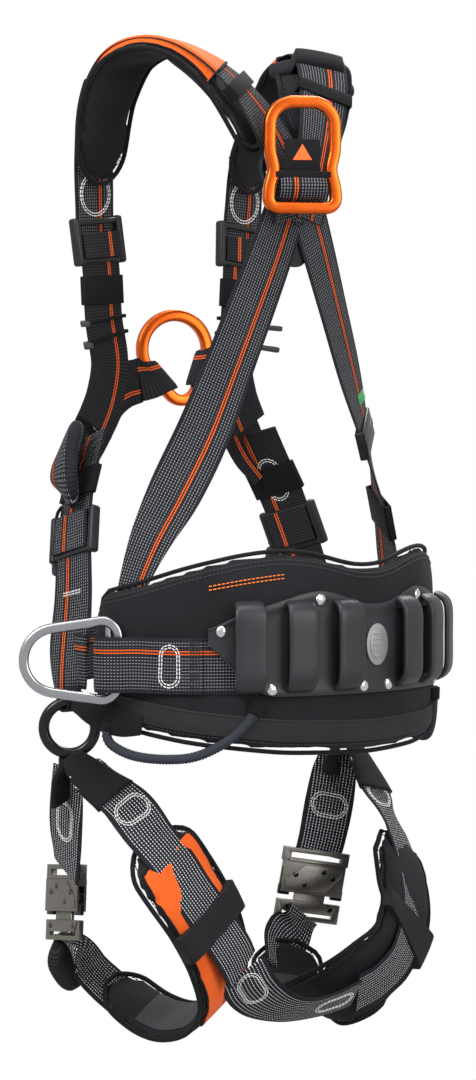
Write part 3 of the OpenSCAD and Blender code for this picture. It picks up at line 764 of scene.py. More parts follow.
def rivet_tree():
    tree, n, given, out = new_tree("Rivets", [
        ("Size", "NodeSocketFloat", 0.0045), ("Height", "NodeSocketFloat", 0.002),
        ("Metal", "NodeSocketMaterial", None)])
    facing = n.add("GeometryNodeInputNamedAttribute", {"Name": "facing"}, data_type="FLOAT_VECTOR")
    turn = n.add("FunctionNodeAlignRotationToVector", {"Vector": facing.outputs[0]}, axis="Z")
    ball = n.add("GeometryNodeMeshUVSphere", {"Segments": 20, "Rings": 12, "Radius": given.outputs["Size"]})
    ratio = n.add("ShaderNodeMath", {0: given.outputs["Height"], 1: given.outputs["Size"]},
                  operation="DIVIDE")
    shape = n.add("ShaderNodeCombineXYZ", {0: 1.0, 1: 1.0, 2: ratio.outputs[0]})
    put = n.add("GeometryNodeInstanceOnPoints",
                {"Points": given.outputs["Geometry"], "Instance": ball.outputs[0],
                                                 "Rotation": turn.outputs[0], "Scale": shape.outputs[0]})
    real = n.add("GeometryNodeRealizeInstances", {0: put.outputs[0]})
    smooth_it = n.add("GeometryNodeSetShadeSmooth", {"Geometry": real.outputs[0]})
    finish = n.add("GeometryNodeSetMaterial",
                   {"Geometry": smooth_it.outputs[0], "Material": given.outputs["Metal"]})
    n.put(out, 0, finish.outputs[0])
    return tree


def lines_object(name, lines):
    verts, edges = [], []
    for pts, closed in lines:
        start = len(verts)
        verts += [tuple(p) for p in pts]
        edges += [(start + i, start + i + 1) for i in range(len(pts) - 1)]
        if closed:
            edges.append((len(verts) - 1, start))
    mesh = bpy.data.meshes.new(name)
    mesh.from_pydata(verts, edges, [])
    obj = bpy.data.objects.new(name, mesh)
    bpy.context.scene.collection.objects.link(obj)
    return obj


SEAMS = {}
LAYS = {}


def sew(body, thread, points, closed=False):
    SEAMS.setdefault((body, thread), []).append((np.array(points), closed))


def oval(lay, middle, length, half, body="harness", thread="white_thread", upright=False, faces=(1,)):
    """Two rings of stitches round a sewn overlap: straight sides and round ends."""
    for face in faces:
        for r in (0, 1):
            w, l = half - 0.0022 * r, length / 2 - 0.0022 * r
            pts = []
            for k in range(48):
                a = 2 * math.pi * k / 48
                x = (l - w) * (1 if math.cos(a) > 0 else -1) + w * math.cos(a)
                y = w * math.sin(a)
                along, side = (y, x) if upright else (x, y)
                pts.append(lay.at(middle + along, side, 0.0014 * face))
            sew(body, thread, pts, True)


def bartack(lay, s, half, body="harness", thread="white_thread", rows=3, faces=(1,)):
    for face in faces:
        for r in range(rows):
            at = s + 0.0022 * (r - rows / 2)
            sew(body, thread, [lay.at(at, u, 0.0014 * face) for u in np.linspace(-half, half, 6)])


# ---------------------------------------------------------------- padding
def rounded(lay, reach):
    """How much of its size each ring of a pad keeps near its round ends."""
    near = np.minimum(lay.s - lay.s[0], lay.s[-1] - lay.s) / reach
    near = np.clip(near, 0.03, 1)
    return np.sqrt(1 - (1 - near) ** 2)


def swell(obj, look, cap=0.003):
    """Fills a pad with air as cloth, keeps each point within cap of where it was, and smooths it.

    The remesh takes away the pad's thin rim, so a binding laid on the outline stands off it.
    """
    m = obj.modifiers.new("Remesh", "REMESH")
    m.mode, m.voxel_size = "VOXEL", look.voxel
    settle(obj)
    rest = np.array([v.co for v in obj.data.vertices])
    c = obj.modifiers.new("Cloth", "CLOTH")
    c.settings.use_pressure = True
    c.settings.uniform_pressure_force = look.pressure
    c.settings.effector_weights.gravity = 0
    c.settings.quality = 4
    c.settings.mass = 0.3
    c.settings.bending_stiffness = 2.0
    scene = bpy.context.scene
    for f in range(1, 15):
        scene.frame_set(f)
    done = obj.evaluated_get(bpy.context.evaluated_depsgraph_get()).to_mesh()
    co = np.array([v.co for v in done.vertices])
    obj.modifiers.clear()
    move = co - rest
    far = np.linalg.norm(move, axis=1, keepdims=True)
    co = rest + move * np.minimum(1, cap / np.maximum(far, 1e-9))
    obj.data.vertices.foreach_set("co", co.astype(np.float32).ravel())
    scene.frame_set(1)
    s = obj.modifiers.new("Smooth", "SMOOTH")
    s.iterations, s.factor = 4, 0.5
    settle(obj)
    return shade(subdivide(obj), 0)


def padding(name, lay, t, look, reach=0.02, cap=0.003):
    ends = rounded(lay, reach)
    return swell(loft(name, lay, soft_section(), t - 0.4 * cap, ends), look, cap)


def surface(obj):
    return BVHTree.FromObject(obj, bpy.context.evaluated_depsgraph_get())


def laid(tree, lay, s, u, lift, back_face=False):
    """The point on a pad over a place on its lay."""
    p, f, b, _ = lay.look(s)
    if back_face:
        f = -f
    start = Vector(p + b * u + f * 0.03)
    hit = tree.ray_cast(start, Vector(-f), 0.06)
    base = np.array(hit[0]) if hit[0] is not None else p + b * u
    return base + f * lift


def outline(lay, reach, inset=0.0, n=60):
    """(s, u) round a pad's edge, that far inside it."""
    ends = rounded(lay, reach)
    ss = np.linspace(lay.s[0] + inset + 0.001, lay.s[-1] - inset - 0.001, n)
    half = np.interp(ss, lay.s, lay.w * ends / 2) - inset
    half = np.maximum(half, 0.004)
    return [(s, h) for s, h in zip(ss, half)] + [(s, -h) for s, h in zip(ss[::-1], half[::-1])]


def patch(name, tree, lay, start, stop, low, high, lift, material, t=0.0009, ns=40, nu=12, back_face=False,
          at=None):
    """A sewn-on panel over part of a pad; low and high are how far across it reaches, given s."""
    verts, uvs = [], []
    for i in range(ns + 1):
        s = start + (stop - start) * i / ns
        a, b = low(s), high(s)
        for j in range(nu + 1):
            u = a + (b - a) * j / nu
            verts.append(at(s, u) if at else laid(tree, lay, s, u, lift, back_face))
            uvs.append((u, s))
    faces = [(i * (nu + 1) + j, i * (nu + 1) + j + 1, (i + 1) * (nu + 1) + j + 1, (i + 1) * (nu + 1) + j)
             for i in range(ns) for j in range(nu)]
    obj = mesh_of(name, verts, faces, uvs)
    middle = lay.look((start + stop) / 2)
    up_face = obj.data.polygons[len(obj.data.polygons) // 2].normal
    if (np.array(up_face) @ middle[1]) * (-1 if back_face else 1) < 0:
        obj.data.flip_normals()
    m = obj.modifiers.new("Solidify", "SOLIDIFY")
    m.thickness, m.offset = t, 1.0
    settle(obj)
    obj.data.materials.append(material)
    return shade(obj, 50)


def piping(name, lay, reach, radius=0.0016, grow=0.0):
    pts = [lay.at(s, u + math.copysign(grow, u), 0) for s, u in outline(lay, reach)]
    return tube(name, pts, radius, closed=True, sides=8)


# ---------------------------------------------------------------- rings
def ring_path(circles, bend=6):
    """Points and outward directions round circles (x, z, radius), counter-clockwise in the xz plane."""
    def leave(a, b):
        v = (b[0] - a[0], b[1] - a[1])
        return math.degrees(math.atan2(v[1], v[0]) - math.acos((a[2] - b[2]) / math.hypot(*v)))
    n, rows = len(circles), []
    for i, c in enumerate(circles):
        start = leave(circles[i - 1], c)
        turn = (leave(c, circles[(i + 1) % n]) - start) % 360
        count = max(2, math.ceil(turn / bend))
        for k in range(count + 1):
            a = math.radians(start + turn * k / count)
            rows.append((c[0] + c[2] * math.cos(a), c[1] + c[2] * math.sin(a)))
    pts = np.array(rows)
    gaps = np.linalg.norm(np.roll(pts, -1, 0) - pts, axis=1)
    total = np.concatenate([[0], np.cumsum(gaps)])
    closed = np.vstack([pts, pts[:1]])
    at = np.linspace(0, total[-1], 161)[:-1]
    return np.array([[np.interp(s, total, closed[:, k]) for k in range(2)] for s in at])


def ring(name, circles, wide, thick, matrix, power=0.5, pinch=None):
    """A closed ring of flat or round bar in its own xz plane, placed by matrix."""
    xz = ring_path(circles)
    if pinch:
        z0, spread, share = pinch
        xz[:, 0] *= 1 - share * np.exp(-((xz[:, 1] - z0) / spread) ** 2)
    p = np.column_stack([xz[:, 0], np.zeros(len(xz)), xz[:, 1]])
    d = unit(np.roll(p, -1, 0) - np.roll(p, 1, 0))
    out = np.cross(d, (0, -1, 0))
    lay = Lay(p * MM, np.tile((0.0, 1.0, 0.0), (len(p), 1)), out, np.full(len(p), wide * MM))
    obj = loft(name, lay, box_section(28, power), thick * MM, closed=True)
    return shade(place(obj, matrix), 0)


def turned(origin, *turns):
    m = Matrix.Translation(Vector(origin) * MM)
    for degrees, axis in turns:
        m = m @ Matrix.Rotation(math.radians(degrees), 4, axis)
    return m


def axes_at(p, x, y):
    z = np.cross(x, y)
    return Matrix(((x[0], y[0], z[0], p[0]), (x[1], y[1], z[1], p[1]), (x[2], y[2], z[2], p[2]),
                   (0, 0, 0, 1)))


def block(name, size, matrix=None, width=0.6, segments=2):
    """A box with rounded edges, sizes in millimetres, about its own middle."""
    x, y, z = [v * MM / 2 for v in size]
    verts = [(i * x, j * y, k * z) for i in (-1, 1) for j in (-1, 1) for k in (-1, 1)]
    faces = [(0, 1, 3, 2), (4, 6, 7, 5), (0, 4, 5, 1), (2, 3, 7, 6), (0, 2, 6, 4), (1, 5, 7, 3)]
    obj = mesh_of(name, verts, faces)
    bevel(obj, width, segments)
    if matrix is not None:
        place(obj, matrix)
    return shade(obj, 50)


def on_lay(lay, share, out=0.0, u=0.0):
    """A matrix with x across the strap, y out of it and z along it, at a share of its length."""
    s = lay.s[0] + share * (lay.s[-1] - lay.s[0])
    p, f, b, _ = lay.look(s)
    x, y = unit(b), unit(f - (f @ unit(b)) * unit(b))
    return axes_at(p + b * u + f * out, x, y)


def frame_round(name, lay, share, w, t, rim, h, material, width=0.6):
    """A rounded frame of bar round a strap: hole w by t, rim thick, h high, in millimetres."""
    hx, hy = w / 2 + rim, t / 2 + rim
    bars = [block("bar", (2 * hx, rim, h), Matrix.Translation(Vector((0, s * (t / 2 + rim / 2), 0)) * MM),
                  width)
            for s in (-1, 1)]
    bars += [block("bar", (rim, 2 * hy, h), Matrix.Translation(Vector((s * (w / 2 + rim / 2), 0, 0)) * MM),
                   width)
             for s in (-1, 1)]
    for b in bars:
        b.data.materials.append(material)
    return place(join(name, bars), on_lay(lay, share))


# ---------------------------------------------------------------- settings
class HarnessLook(bpy.types.PropertyGroup):
    webbing_colour: FloatVectorProperty(name="Webbing colour",
                                        description="Ground colour of the woven straps",
                                        default=(0.022, 0.023, 0.028), subtype="COLOR", min=0, max=1)
    orange_colour: FloatVectorProperty(name="Accent colour",
                                       description="Colour of the pads' panels and the woven lines",
                                       default=(0.88, 0.13, 0.018), subtype="COLOR", min=0, max=1)
    strap_thickness: FloatProperty(name="Strap thickness", description="Thickness of one layer of webbing",
                                   default=0.0022, min=0.001, max=0.004, unit="LENGTH", precision=4)
    voxel: FloatProperty(name="Padding grain", description="Size of the cells that padding is filled in",
                         default=0.0045, min=0.003, max=0.01, unit="LENGTH", precision=4)
    pressure: FloatProperty(name="Padding pressure", description="How hard the foam pushes its cover out",
                            default=4.0, min=0, max=20)
    stitch_spacing: FloatProperty(name="Stitch spacing", description="Distance from one stitch to the next",
                                  default=0.0034, min=0.001, max=0.01, unit="LENGTH", precision=4)
    stitch_radius: FloatProperty(name="Thread radius", description="Radius of the sewing thread",
                                 default=0.00048, min=0.0002, max=0.002, unit="LENGTH", precision=5)


class HarnessStage(bpy.types.PropertyGroup):
    azimuth: FloatProperty(name="Azimuth", description="Where the camera stands round the harness",
                           default=math.radians(-47), subtype="ANGLE")
    elevation: FloatProperty(name="Elevation", description="How high the camera stands",
                             default=math.radians(2), subtype="ANGLE")
    distance: FloatProperty(name="Distance", description="From the camera to the harness", default=3.2,
                            unit="LENGTH")
    lens: FloatProperty(name="Lens", description="Focal length in millimetres", default=127.0, min=20,
                        max=300)
    surround: FloatProperty(name="Surround",
                            description="How brightly the white surroundings light the harness",
                            default=0.62, min=0, max=2)


# ---------------------------------------------------------------- operators
class HARNESS_OT_stage(bpy.types.Operator):
    """Camera, lights and white surroundings"""
    bl_idname = "harness.stage"
    bl_label = "Stage"

    def execute(self, context):
        g = context.scene.harness_stage
        target = Vector((0, 0, 0.095))
        ce, se = math.cos(g.elevation), math.sin(g.elevation)
        back = Vector((math.sin(g.azimuth) * ce, -math.cos(g.azimuth) * ce, se))
        cam = bpy.data.cameras.new("camera")
        cam.lens, cam.sensor_width, cam.sensor_fit = g.lens, 36, "AUTO"
        cam.clip_end = 30
        eye = bpy.data.objects.new("camera", cam)
        context.scene.collection.objects.link(eye)
        eye.location = target + back * g.distance
        eye.rotation_euler = (-back).to_track_quat("-Z", "Y").to_euler()
        context.scene.camera = eye

        def lamp(name, angle, height, distance, size, power, aim=(0, 0, 0.1)):
            a = g.azimuth + math.radians(angle)
            at = Vector((math.sin(a) * distance, -math.cos(a) * distance, height))
            light = bpy.data.lights.new(name, "AREA")
            light.energy, light.size = power, size
            obj = bpy.data.objects.new(name, light)
            context.scene.collection.objects.link(obj)
            obj.location = at
            obj.rotation_euler = (at - Vector(aim)).to_track_quat("Z", "Y").to_euler()
        lamp("key_light", -38, 1.7, 2.4, 1.4, 62)
        lamp("fill_light", 48, 0.9, 2.6, 1.8, 38)
        lamp("rim_light", 165, 2.0, 2.2, 1.2, 45)
        lamp("top_light", 10, 2.6, 0.8, 1.6, 36)
        world = bpy.data.worlds.new("studio")
        context.scene.world = world
        world.use_nodes = True
        n = Nodes(world.node_tree)
        seen = n.add("ShaderNodeLightPath").outputs["Is Camera Ray"]
        shine = n.add("ShaderNodeMapRange", {0: seen, 1: 0.0, 2: 1.0, 3: g.surround, 4: 1.0}).outputs[0]
        n.put(world.node_tree.nodes["Background"], "Strength", shine)
        world.node_tree.nodes["Background"].inputs[0].default_value = (1, 1, 1, 1)
        context.scene.view_settings.view_transform = "Standard"
        return {"FINISHED"}


class HARNESS_OT_pull_cords(bpy.types.Operator):
    """The short cords and tabs that tighten the lower chest buckles"""
    bl_idname = "harness.pull_cords"
    bl_label = "Pull cords"

    def execute(self, context):
        make_materials(context.scene.harness_look)
        for side, sign in (("left", 1), ("right", -1)):
            route = [[sign * p[0], p[1], p[2]] for p in PULL_CORD_ROUTE]
            rows = smooth([[c / MM for c in p] for p in route], 5)[:, :3] * MM
            cord = tube(f"pull_cord_{side}_tube", rows, PULL_CORD_D / 2, sides=12)
            tab = tab_mesh(f"pull_tab_{side}_grip", Vector((-sign * 0.131, 0.084, 0.084)))
            give(cord, "harness", f"pull_cord_{side}", "cord", M["cord"])
            give(tab, "harness", "pull_tabs", "rubber", M["rubber"])
            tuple(route[0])
        return {"FINISHED"}


def tab_mesh(name, top, length=18):
    """A moulded grip with ribs that hangs from a cord's end."""
    pts, widths = [], []
    for k in range(15):
        t = k / 14
        pts.append((0, 0, -length * t))
        widths.append(5.5 + 3.2 * math.sin(math.pi * min(1, t * 0.75)) + (0.7 if k % 2 else 0))
    p = np.array(pts, float) * MM
    n = len(p)
    lay = Lay(p, np.tile((1.0, 0, 0), (n, 1)), np.tile((0, 1.0, 0), (n, 1)), np.array(widths) * MM)
    obj = loft(name, lay, box_section(20, 0.6), 4.2 * MM, rounded(lay, 0.003))
    return shade(place(obj, Matrix.Translation(top)), 30)


class HARNESS_OT_belt(bpy.types.Operator):
    """The padded waist belt with its webbing"""
    bl_idname = "harness.belt"
    bl_label = "Waist belt"

    def execute(self, context):
        look = context.scene.harness_look
        lay = belt_lay(-102, 102, 2, PAD_BOTTOM, PAD_TOP, 0)
        LAYS["belt"] = lay
        pad = padding("belt_padding", lay, PAD_T * MM, look, 0.016, 0.002)
        tree = surface(pad)
        give(pad, "harness", "belt_pad", "black_fabric", M["black_fabric"])
        rim = piping("belt_binding", lay, 0.016, 0.0019)
        give(rim, "harness", (), "black_fabric", M["piping"])
        for inset in (0.007, 0.0105):
            pts = [laid(tree, lay, s, u, 0.0002) for s, u in outline(lay, 0.016, inset, 150)]
            sew("harness", "black_thread", pts, True)
        low = lambda s: float(np.interp(s, lay.s, lay.w)) / 2 - 0.027
        cover = patch("belt_lower_cover", tree, lay, 0.03, lay.s[-1] - 0.03, low, lambda s: low(s) + 0.018,
                      0.0003,
                      M["lining"], 0.0009, 120, 4)
        give(cover, "harness", (), "black_fabric")
        sew("harness", "black_thread",
            [laid(tree, lay, s, low(s) + 0.001, 0.0015) for s in np.linspace(0.03, lay.s[-1] - 0.03, 150)])

        start = lay.s[-1] / 2 - 0.145
        for row in (0, 1):
            marks = [laid(tree, lay, start + 0.003 * k, -0.0515 - 0.0004 * k - 0.003 * row,
                          0.0006) for k in range(20)]
            sew("harness", "orange_thread", marks)

        back = belt_lay(-84, 84, 2, -22.5, 22.5, WEBBING_GAP)
        LAYS["belt_webbing"] = back
        give(strap("belt_webbing_back", back), "harness", "back_belt_webbing", "webbing", M["belt_webbing"])
        for end in (-1, 1):
            front = belt_lay(104, 164, 2, -22.5, 22.5, WEBBING_GAP)
            s = strap("belt_webbing_front" + ("_left" if end < 0 else "_right"), front)
            if end < 0:
                place(s, MIRROR)
            give(s, "harness", "front_belt_webbing" if end > 0 else (), "webbing", M["belt_webbing"])
        # The CAD's front webbing stops short of the buckle; these ends carry it on into the slots.
        for name, tip in (("left", -30), ("right", 21)):
            sign = 1 if tip > 0 else -1
            near, before = belt_at(164, 0, WEBBING_GAP)[0], belt_at(160, 0, WEBBING_GAP)[0]
            points = [[sign * p[0], p[1], 0, 0, 45] for p in (before, near)] + [[sign * 36, 111, 0, 0, 44],
                    [tip, 110, 0, 0, 44]]
            end = Lay.along([list(map(float, p)) for p in points], WAIST, UP, 8)
            give(strap(f"belt_webbing_end_{name}", end), "harness", (), "webbing", M["belt_webbing"])
        middle = back.length / 2
        route = [list(belt_at(a, 0, WEBBING_GAP + 2.6)[0]) for a in (-56, -61, -66)]
        route += [[-177.5, -54, 1], [-188, -45.5, 1], [-194.5, -38.5, 1], [-196.5, -30.5, 1],
                  [-191.5, -22, 1], [-184.5, -19, 1]]
        turn_in = Lay.along([list(map(float, p)) + [0, 44.5] for p in route], WAIST, UP, 8)
        facing = unit(turn_in.p * np.array((1, 1, 0)) - np.array((SIDE_BAR[0], SIDE_BAR[1], 0)) * MM)
        late = np.clip((turn_in.s - 0.03) / 0.02, 0, 1)[:, None]
        turn_in.f = unit(turn_in.f * (1 - late) + facing * late)
        fold = strap("belt_webbing_ring_fold_left", turn_in)
        fold_right = twin(fold, "belt_webbing_ring_fold_right")
        give(fold, "harness", (), "webbing", M["belt_fold"])
        give(fold_right, "harness", (), "webbing", M["belt_fold"])
        oval(turn_in, 0.026, 0.034, 0.0085, upright=True)
        bartack(turn_in, 0.006, 0.019, thread="black_thread", rows=4)
        for side in (1,):
            oval(back, middle + side * (middle - 0.062), 0.034, 0.0085, upright=True)
            bartack(back, middle + side * (middle - 0.022), 0.018, thread="black_thread", rows=4)
        return {"FINISHED"}


class HARNESS_OT_tool_plate(bpy.types.Operator):
    """The moulded plate on the back of the belt, its tool loops, emblem and rivets"""
    bl_idname = "harness.tool_plate"
    bl_label = "Tool plate"

    def execute(self, context):
        lay = belt_lay(-54, 54, 1, PLATE_BOTTOM, PLATE_TOP, PLATE_GAP)
        rim = [(-0.5, -0.5), (-0.5, 0.45), (-0.47, 0.62), (-0.43, 0.62), (-0.40, 0.35)]
        face = [(q, 0.35) for q in np.linspace(-0.34, 0.34, 9)]
        section = rim + face + [(-x, h) for x, h in rim[::-1]]
        plate = loft("tool_plate_moulding", lay, section, PLATE_T * MM)
        shade(bevel(plate, 0.5, 2, 50), 40)
        give(plate, "harness", "tool_plate", "plate_plastic", M["plate"])

        parts, painted_shade_sheets = [], []
        for angle in LOOP_ANGLES:
            centre, normal = belt_at(angle, 14, PLATE_GAP)
            inner, _ = belt_at(angle, 14, PLATE_GAP - 30)
            tangent = np.cross(normal, UP)
            rise = 11.8
            shape = [(0.3, 37, 22), (3.5, 36, 23), (8, 33, 24), (rise - 1, 28, 25), (rise, 20, 25.5),
                     (rise, 0, 25),
                     (rise, -20, 25.5), (rise - 1, -28, 25), (8, -33, 24), (3.5, -36, 23), (0.3, -37, 22)]
            route = [list(centre + normal * h + np.array((0, 0, z * 0.96 + 1))) + [0, w] for h, z, w in shape]
            run = Lay.along(route, inner, tangent, 6)
            bars = [(-0.5, -0.7), (-0.52, 0.1), (-0.49, 0.42), (-0.42, 0.6), (-0.3, 0.68), (-0.1, 0.72),
                    (0.1, 0.72),
                    (0.3, 0.68), (0.42, 0.6), (0.49, 0.42), (0.52, 0.1), (0.5, -0.7)]
            parts.append(shade(bevel(loft("loop", run, bars, 3 * MM), 0.3, 2, 40), 50))
            # Painted shade: a thin black sheet on the plate inside each loop stands in for the shade in the
            # loop's hollow.
            dark, _ = belt_at(angle, 14, PLATE_GAP + 1.2)
            painted_shade_sheets.append(block("painted_shade_sheet", (20, 0.8, 56), axes_at(dark * MM, tangent, normal), 0.3))
        loops = join("tool_loop_bands", parts)
        give(loops, "harness", "tool_loops", "plate_plastic", M["plate"])
        give(join("tool_loop_painted_shade", painted_shade_sheets), "harness", (), "black_plastic", M["piping"])

        centre, normal = belt_at(0, 14, PLATE_GAP + PLATE_T / 2)
        tangent = np.cross(normal, UP)
        at = axes_at(centre * MM, tangent, normal)
        badge = []
        for grow, h in ((1.0, 0.9), (0.72, 1.6)):
            pts = [(13 * grow * math.cos(a) * MM, 0.0, 17 * grow * math.sin(a) * MM) for a in np.linspace(0,
                    2 * math.pi, 49)[:-1]]
            n = len(pts)
            verts = [(x, -0.4 * MM, z) for x, _, z in pts] + [(x, h * MM, z) for x, _, z in pts]
            faces = [tuple(range(n)),
                     tuple(range(n, 2 * n))] + [(i, (i + 1) % n, n + (i + 1) % n, n + i) for i in range(n)]
            badge.append(shade(bevel(place(mesh_of("disc", verts, faces), at), 0.4, 2), 40))
        for k in range(-2, 3):
            m = at @ Matrix.Translation(Vector((0, 1.7, k * 4.5)) * MM)
            badge.append(block("bar", (13 - 1.5 * abs(k), 0.8, 1.8), m, 0.3))
        emblem = join("plate_badge", badge)
        give(emblem, "harness", (), "plate_plastic", M["badge"])

        mesh = bpy.data.meshes.new("plate_rivet_heads")
        spots = [belt_at(a, z, PLATE_GAP + PLATE_T / 2 - 0.2) for a, z in RIVETS]
        mesh.from_pydata([tuple(p * MM) for p, _ in spots], [], [])
        facing = mesh.attributes.new("facing", "FLOAT_VECTOR", "POINT")
        facing.data.foreach_set("vector", np.array([n for _, n in spots], np.float32).ravel())
        heads = bpy.data.objects.new("plate_rivet_heads", mesh)
        context.scene.collection.objects.link(heads)
        run_tree(heads, rivet_tree(), {"Size": 0.0048, "Height": 0.0022, "Metal": M["rivet"]})
        give(heads, "harness", "plate_rivets", "rivet_steel")
        return {"FINISHED"}


class HARNESS_OT_gear_loops(bpy.types.Operator):
    """The ribbed gear loops under the belt"""
    bl_idname = "harness.gear_loops"
    bl_label = "Gear loops"

    def execute(self, context):
        tree = tube_tree()
        rows = smooth(GEAR_ROUTE, 12)[:, :3] * MM
        runs = [(rows, False), (rows * np.array((-1, 1, 1)), False)]
        loops = lines_object("gear_loop_tubes", runs)
        run_tree(loops, tree, {"Radius": 0.0042, "Rib": 0.0013, "Depth": 0.14, "Cover": M["gear_tube"]})
        shade(loops, 80)
        give(loops, "harness", "gear_loops", "gear_loop_fabric")
        ends = []
        for sign in (1, -1):
            for p, q in ((rows[0], rows[6]), (rows[-1], rows[-7])):
                d = unit(p - q)
                tip = tube("cuff",
                           [(q + (p - q) * t + d * 0.003 * t) * np.array((sign, 1,
                                   1)) for t in np.linspace(0, 1, 5)], 0.0056)
                ends.append(tip)
        cuffs = join("gear_loop_cuffs", ends)
        give(cuffs, "harness", (), "black_fabric", M["piping"])
        return {"FINISHED"}


class HARNESS_OT_back_straps(bpy.types.Operator):
    """The straps from between the shoulders to the belt's sides, with the back plate"""
    bl_idname = "harness.back_straps"
    bl_label = "Back straps"

    def execute(self, context):
        for side, route in (("left", BACK_ROUTE), ("right", mirrored(BACK_ROUTE))):
            lay = Lay.along(route, BACK_C, UP, 12)
            LAYS["back_" + side] = lay
            give(strap(f"back_strap_{side}_webbing", lay), "harness", f"back_strap_{side}", "webbing",
                 M["back_webbing"])
        lay = LAYS["back_right"]
        slider = [frame_round("slider", lay, 0.55, 46, 3, 2.6, 26, M["black_plastic"], 1.2)]
        slider.append(block("slider_bar", (50, 2.4, 7), on_lay(lay, 0.55, 0.0035), 0.8))
        slider[-1].data.materials.append(M["black_plastic"])
        slider.append(frame_round("sleeve", lay, 0.76, 41, 3, 2, 34, M["plain_webbing"], 0.8))
        give(join("back_strap_slider_frame", slider), "harness", "back_strap_slider", "black_plastic")
        mark = block("back_strap_patch", (18, 0.9, 9), on_lay(lay, 0.47, 0.0014, -0.01), 0.3)
        give(mark, "harness", (), "plain_webbing", M["green_mark"])

        plate = refined("dorsal_plate", "dorsal_plate_moulding", 1.2, 3, 35, 40)
        give(plate, "harness", "dorsal_plate", "black_plastic", M["black_plastic"])
        return {"FINISHED"}


class HARNESS_OT_shoulders(bpy.types.Operator):
    """Shoulder straps, pads and their elastic keepers"""
    bl_idname = "harness.shoulders"
    bl_label = "Shoulders"

    def execute(self, context):
        look = context.scene.harness_look
        for side, flip in (("left", False), ("right", True)):
            pick = (lambda r: mirrored(r)) if flip else (lambda r: r)
            lay = Lay.along(pick(SHOULDER_ROUTE), CHEST_C, ACROSS, 12)
            LAYS["shoulder_" + side] = lay
            webbing_piece = strap(f"shoulder_strap_{side}_webbing", lay)
            give(webbing_piece, "harness", f"shoulder_strap_{side}", "webbing", M["webbing"])

            run = Lay.along(pick(SHOULDER_PAD_ROUTE), CHEST_C, ACROSS, 12)
            pad = padding(f"shoulder_pad_{side}_body", run, 8 * MM, look, 0.024)
            tree = surface(pad)
            give(pad, "harness", f"shoulder_pad_{side}", "orange_fabric" if not flip else "black_fabric",
                 M["black_fabric"])
            give(piping(f"shoulder_pad_{side}_binding", run, 0.024, 0.002), "harness", (), "black_fabric",
                 M["piping"])
            total = run.s[-1]
            a, b = total * (0.52 if flip else 0.27), total * 0.9
            edge = lambda s: float(np.interp(s, run.s, run.w)) / 2 - 0.0055 - (0 if flip else 0.0015)
            band = surface(webbing_piece)
            flat = 0.0228

            def over(s, u, lift=0.0006):
                """On the webbing in the middle, and straight down to the pad beside it."""
                def on_webbing(v):
                    p, f, b, _ = run.look(s)
                    hit = band.ray_cast(Vector(p + b * v + f * 0.04), Vector(-f), 0.06)[0]
                    return laid(tree, run, s, v, lift) if hit is None else np.array(hit) + f * lift
                if abs(u) <= flat:
                    return on_webbing(u)
                t = (abs(u) - flat) / max(1e-6, edge(s) - flat)
                return on_webbing(math.copysign(flat, u)) * (1 - t) + laid(tree, run, s,
                        math.copysign(edge(s), u), lift) * t
            panel = patch(f"shoulder_pad_{side}_panel", tree, run, a, b, lambda s: -edge(s), edge, 0,
                          M["orange_fabric"],
                          0.0011, 60, 24, at=over)
            give(panel, "harness", (), "orange_fabric")
            border = [over(s, edge(s), 0.0014) for s in np.linspace(a, b, 60)]
            border += [over(b, u, 0.0014) for u in np.linspace(edge(b), -edge(b), 24)[1:-1]]
            border += [over(s, -edge(s), 0.0014) for s in np.linspace(b, a, 60)]
            border += [over(a, u, 0.0014) for u in np.linspace(-edge(a), edge(a), 24)[1:-1]]
            give(tube(f"shoulder_pad_{side}_edging", border, 0.0014, closed=True, sides=6), "harness", (),
                 "black_fabric", M["piping"])
            if flip:
                where = total * 0.36
                _, facing, across, _ = run.look(where)
                reach = np.linspace(-0.037, 0.037, 32)
                fold = np.array([over(where, max(-0.03, min(0.03, u)),
                                      0.003) + across * (u - max(-0.03, min(0.03, u))) for u in reach])
                fold = fold - np.outer((np.abs(reach) / 0.037) ** 2 * 0.004, facing)
                lip = Lay(fold, np.tile(facing, (32, 1)), unit(np.cross(np.gradient(fold, axis=0), facing)),
                          np.full(32, 0.019))
                give(shade(loft(f"shoulder_pad_{side}_lip", lip, soft_section(), 10 * MM,
                                rounded(lip, 0.008) ** 0.5), 0), "harness", (),
                     "black_fabric", M["black_fabric"])
            for inset in (0.004,):
                sew("harness", "black_thread",
                    [laid(tree, run, s, u, 0.0003) for s, u in outline(run, 0.024, inset, 90)], True)
            keeper = frame_round(f"shoulder_pad_{side}_keeper", lay, 0.3, 48, 5, 1.4, 13, M["elastic"], 0.5)
            give(keeper, "harness", (), "elastic")
            oval(lay, lay.length * 0.9, 0.036, 0.0175, faces=(1, -1))
        return {"FINISHED"}


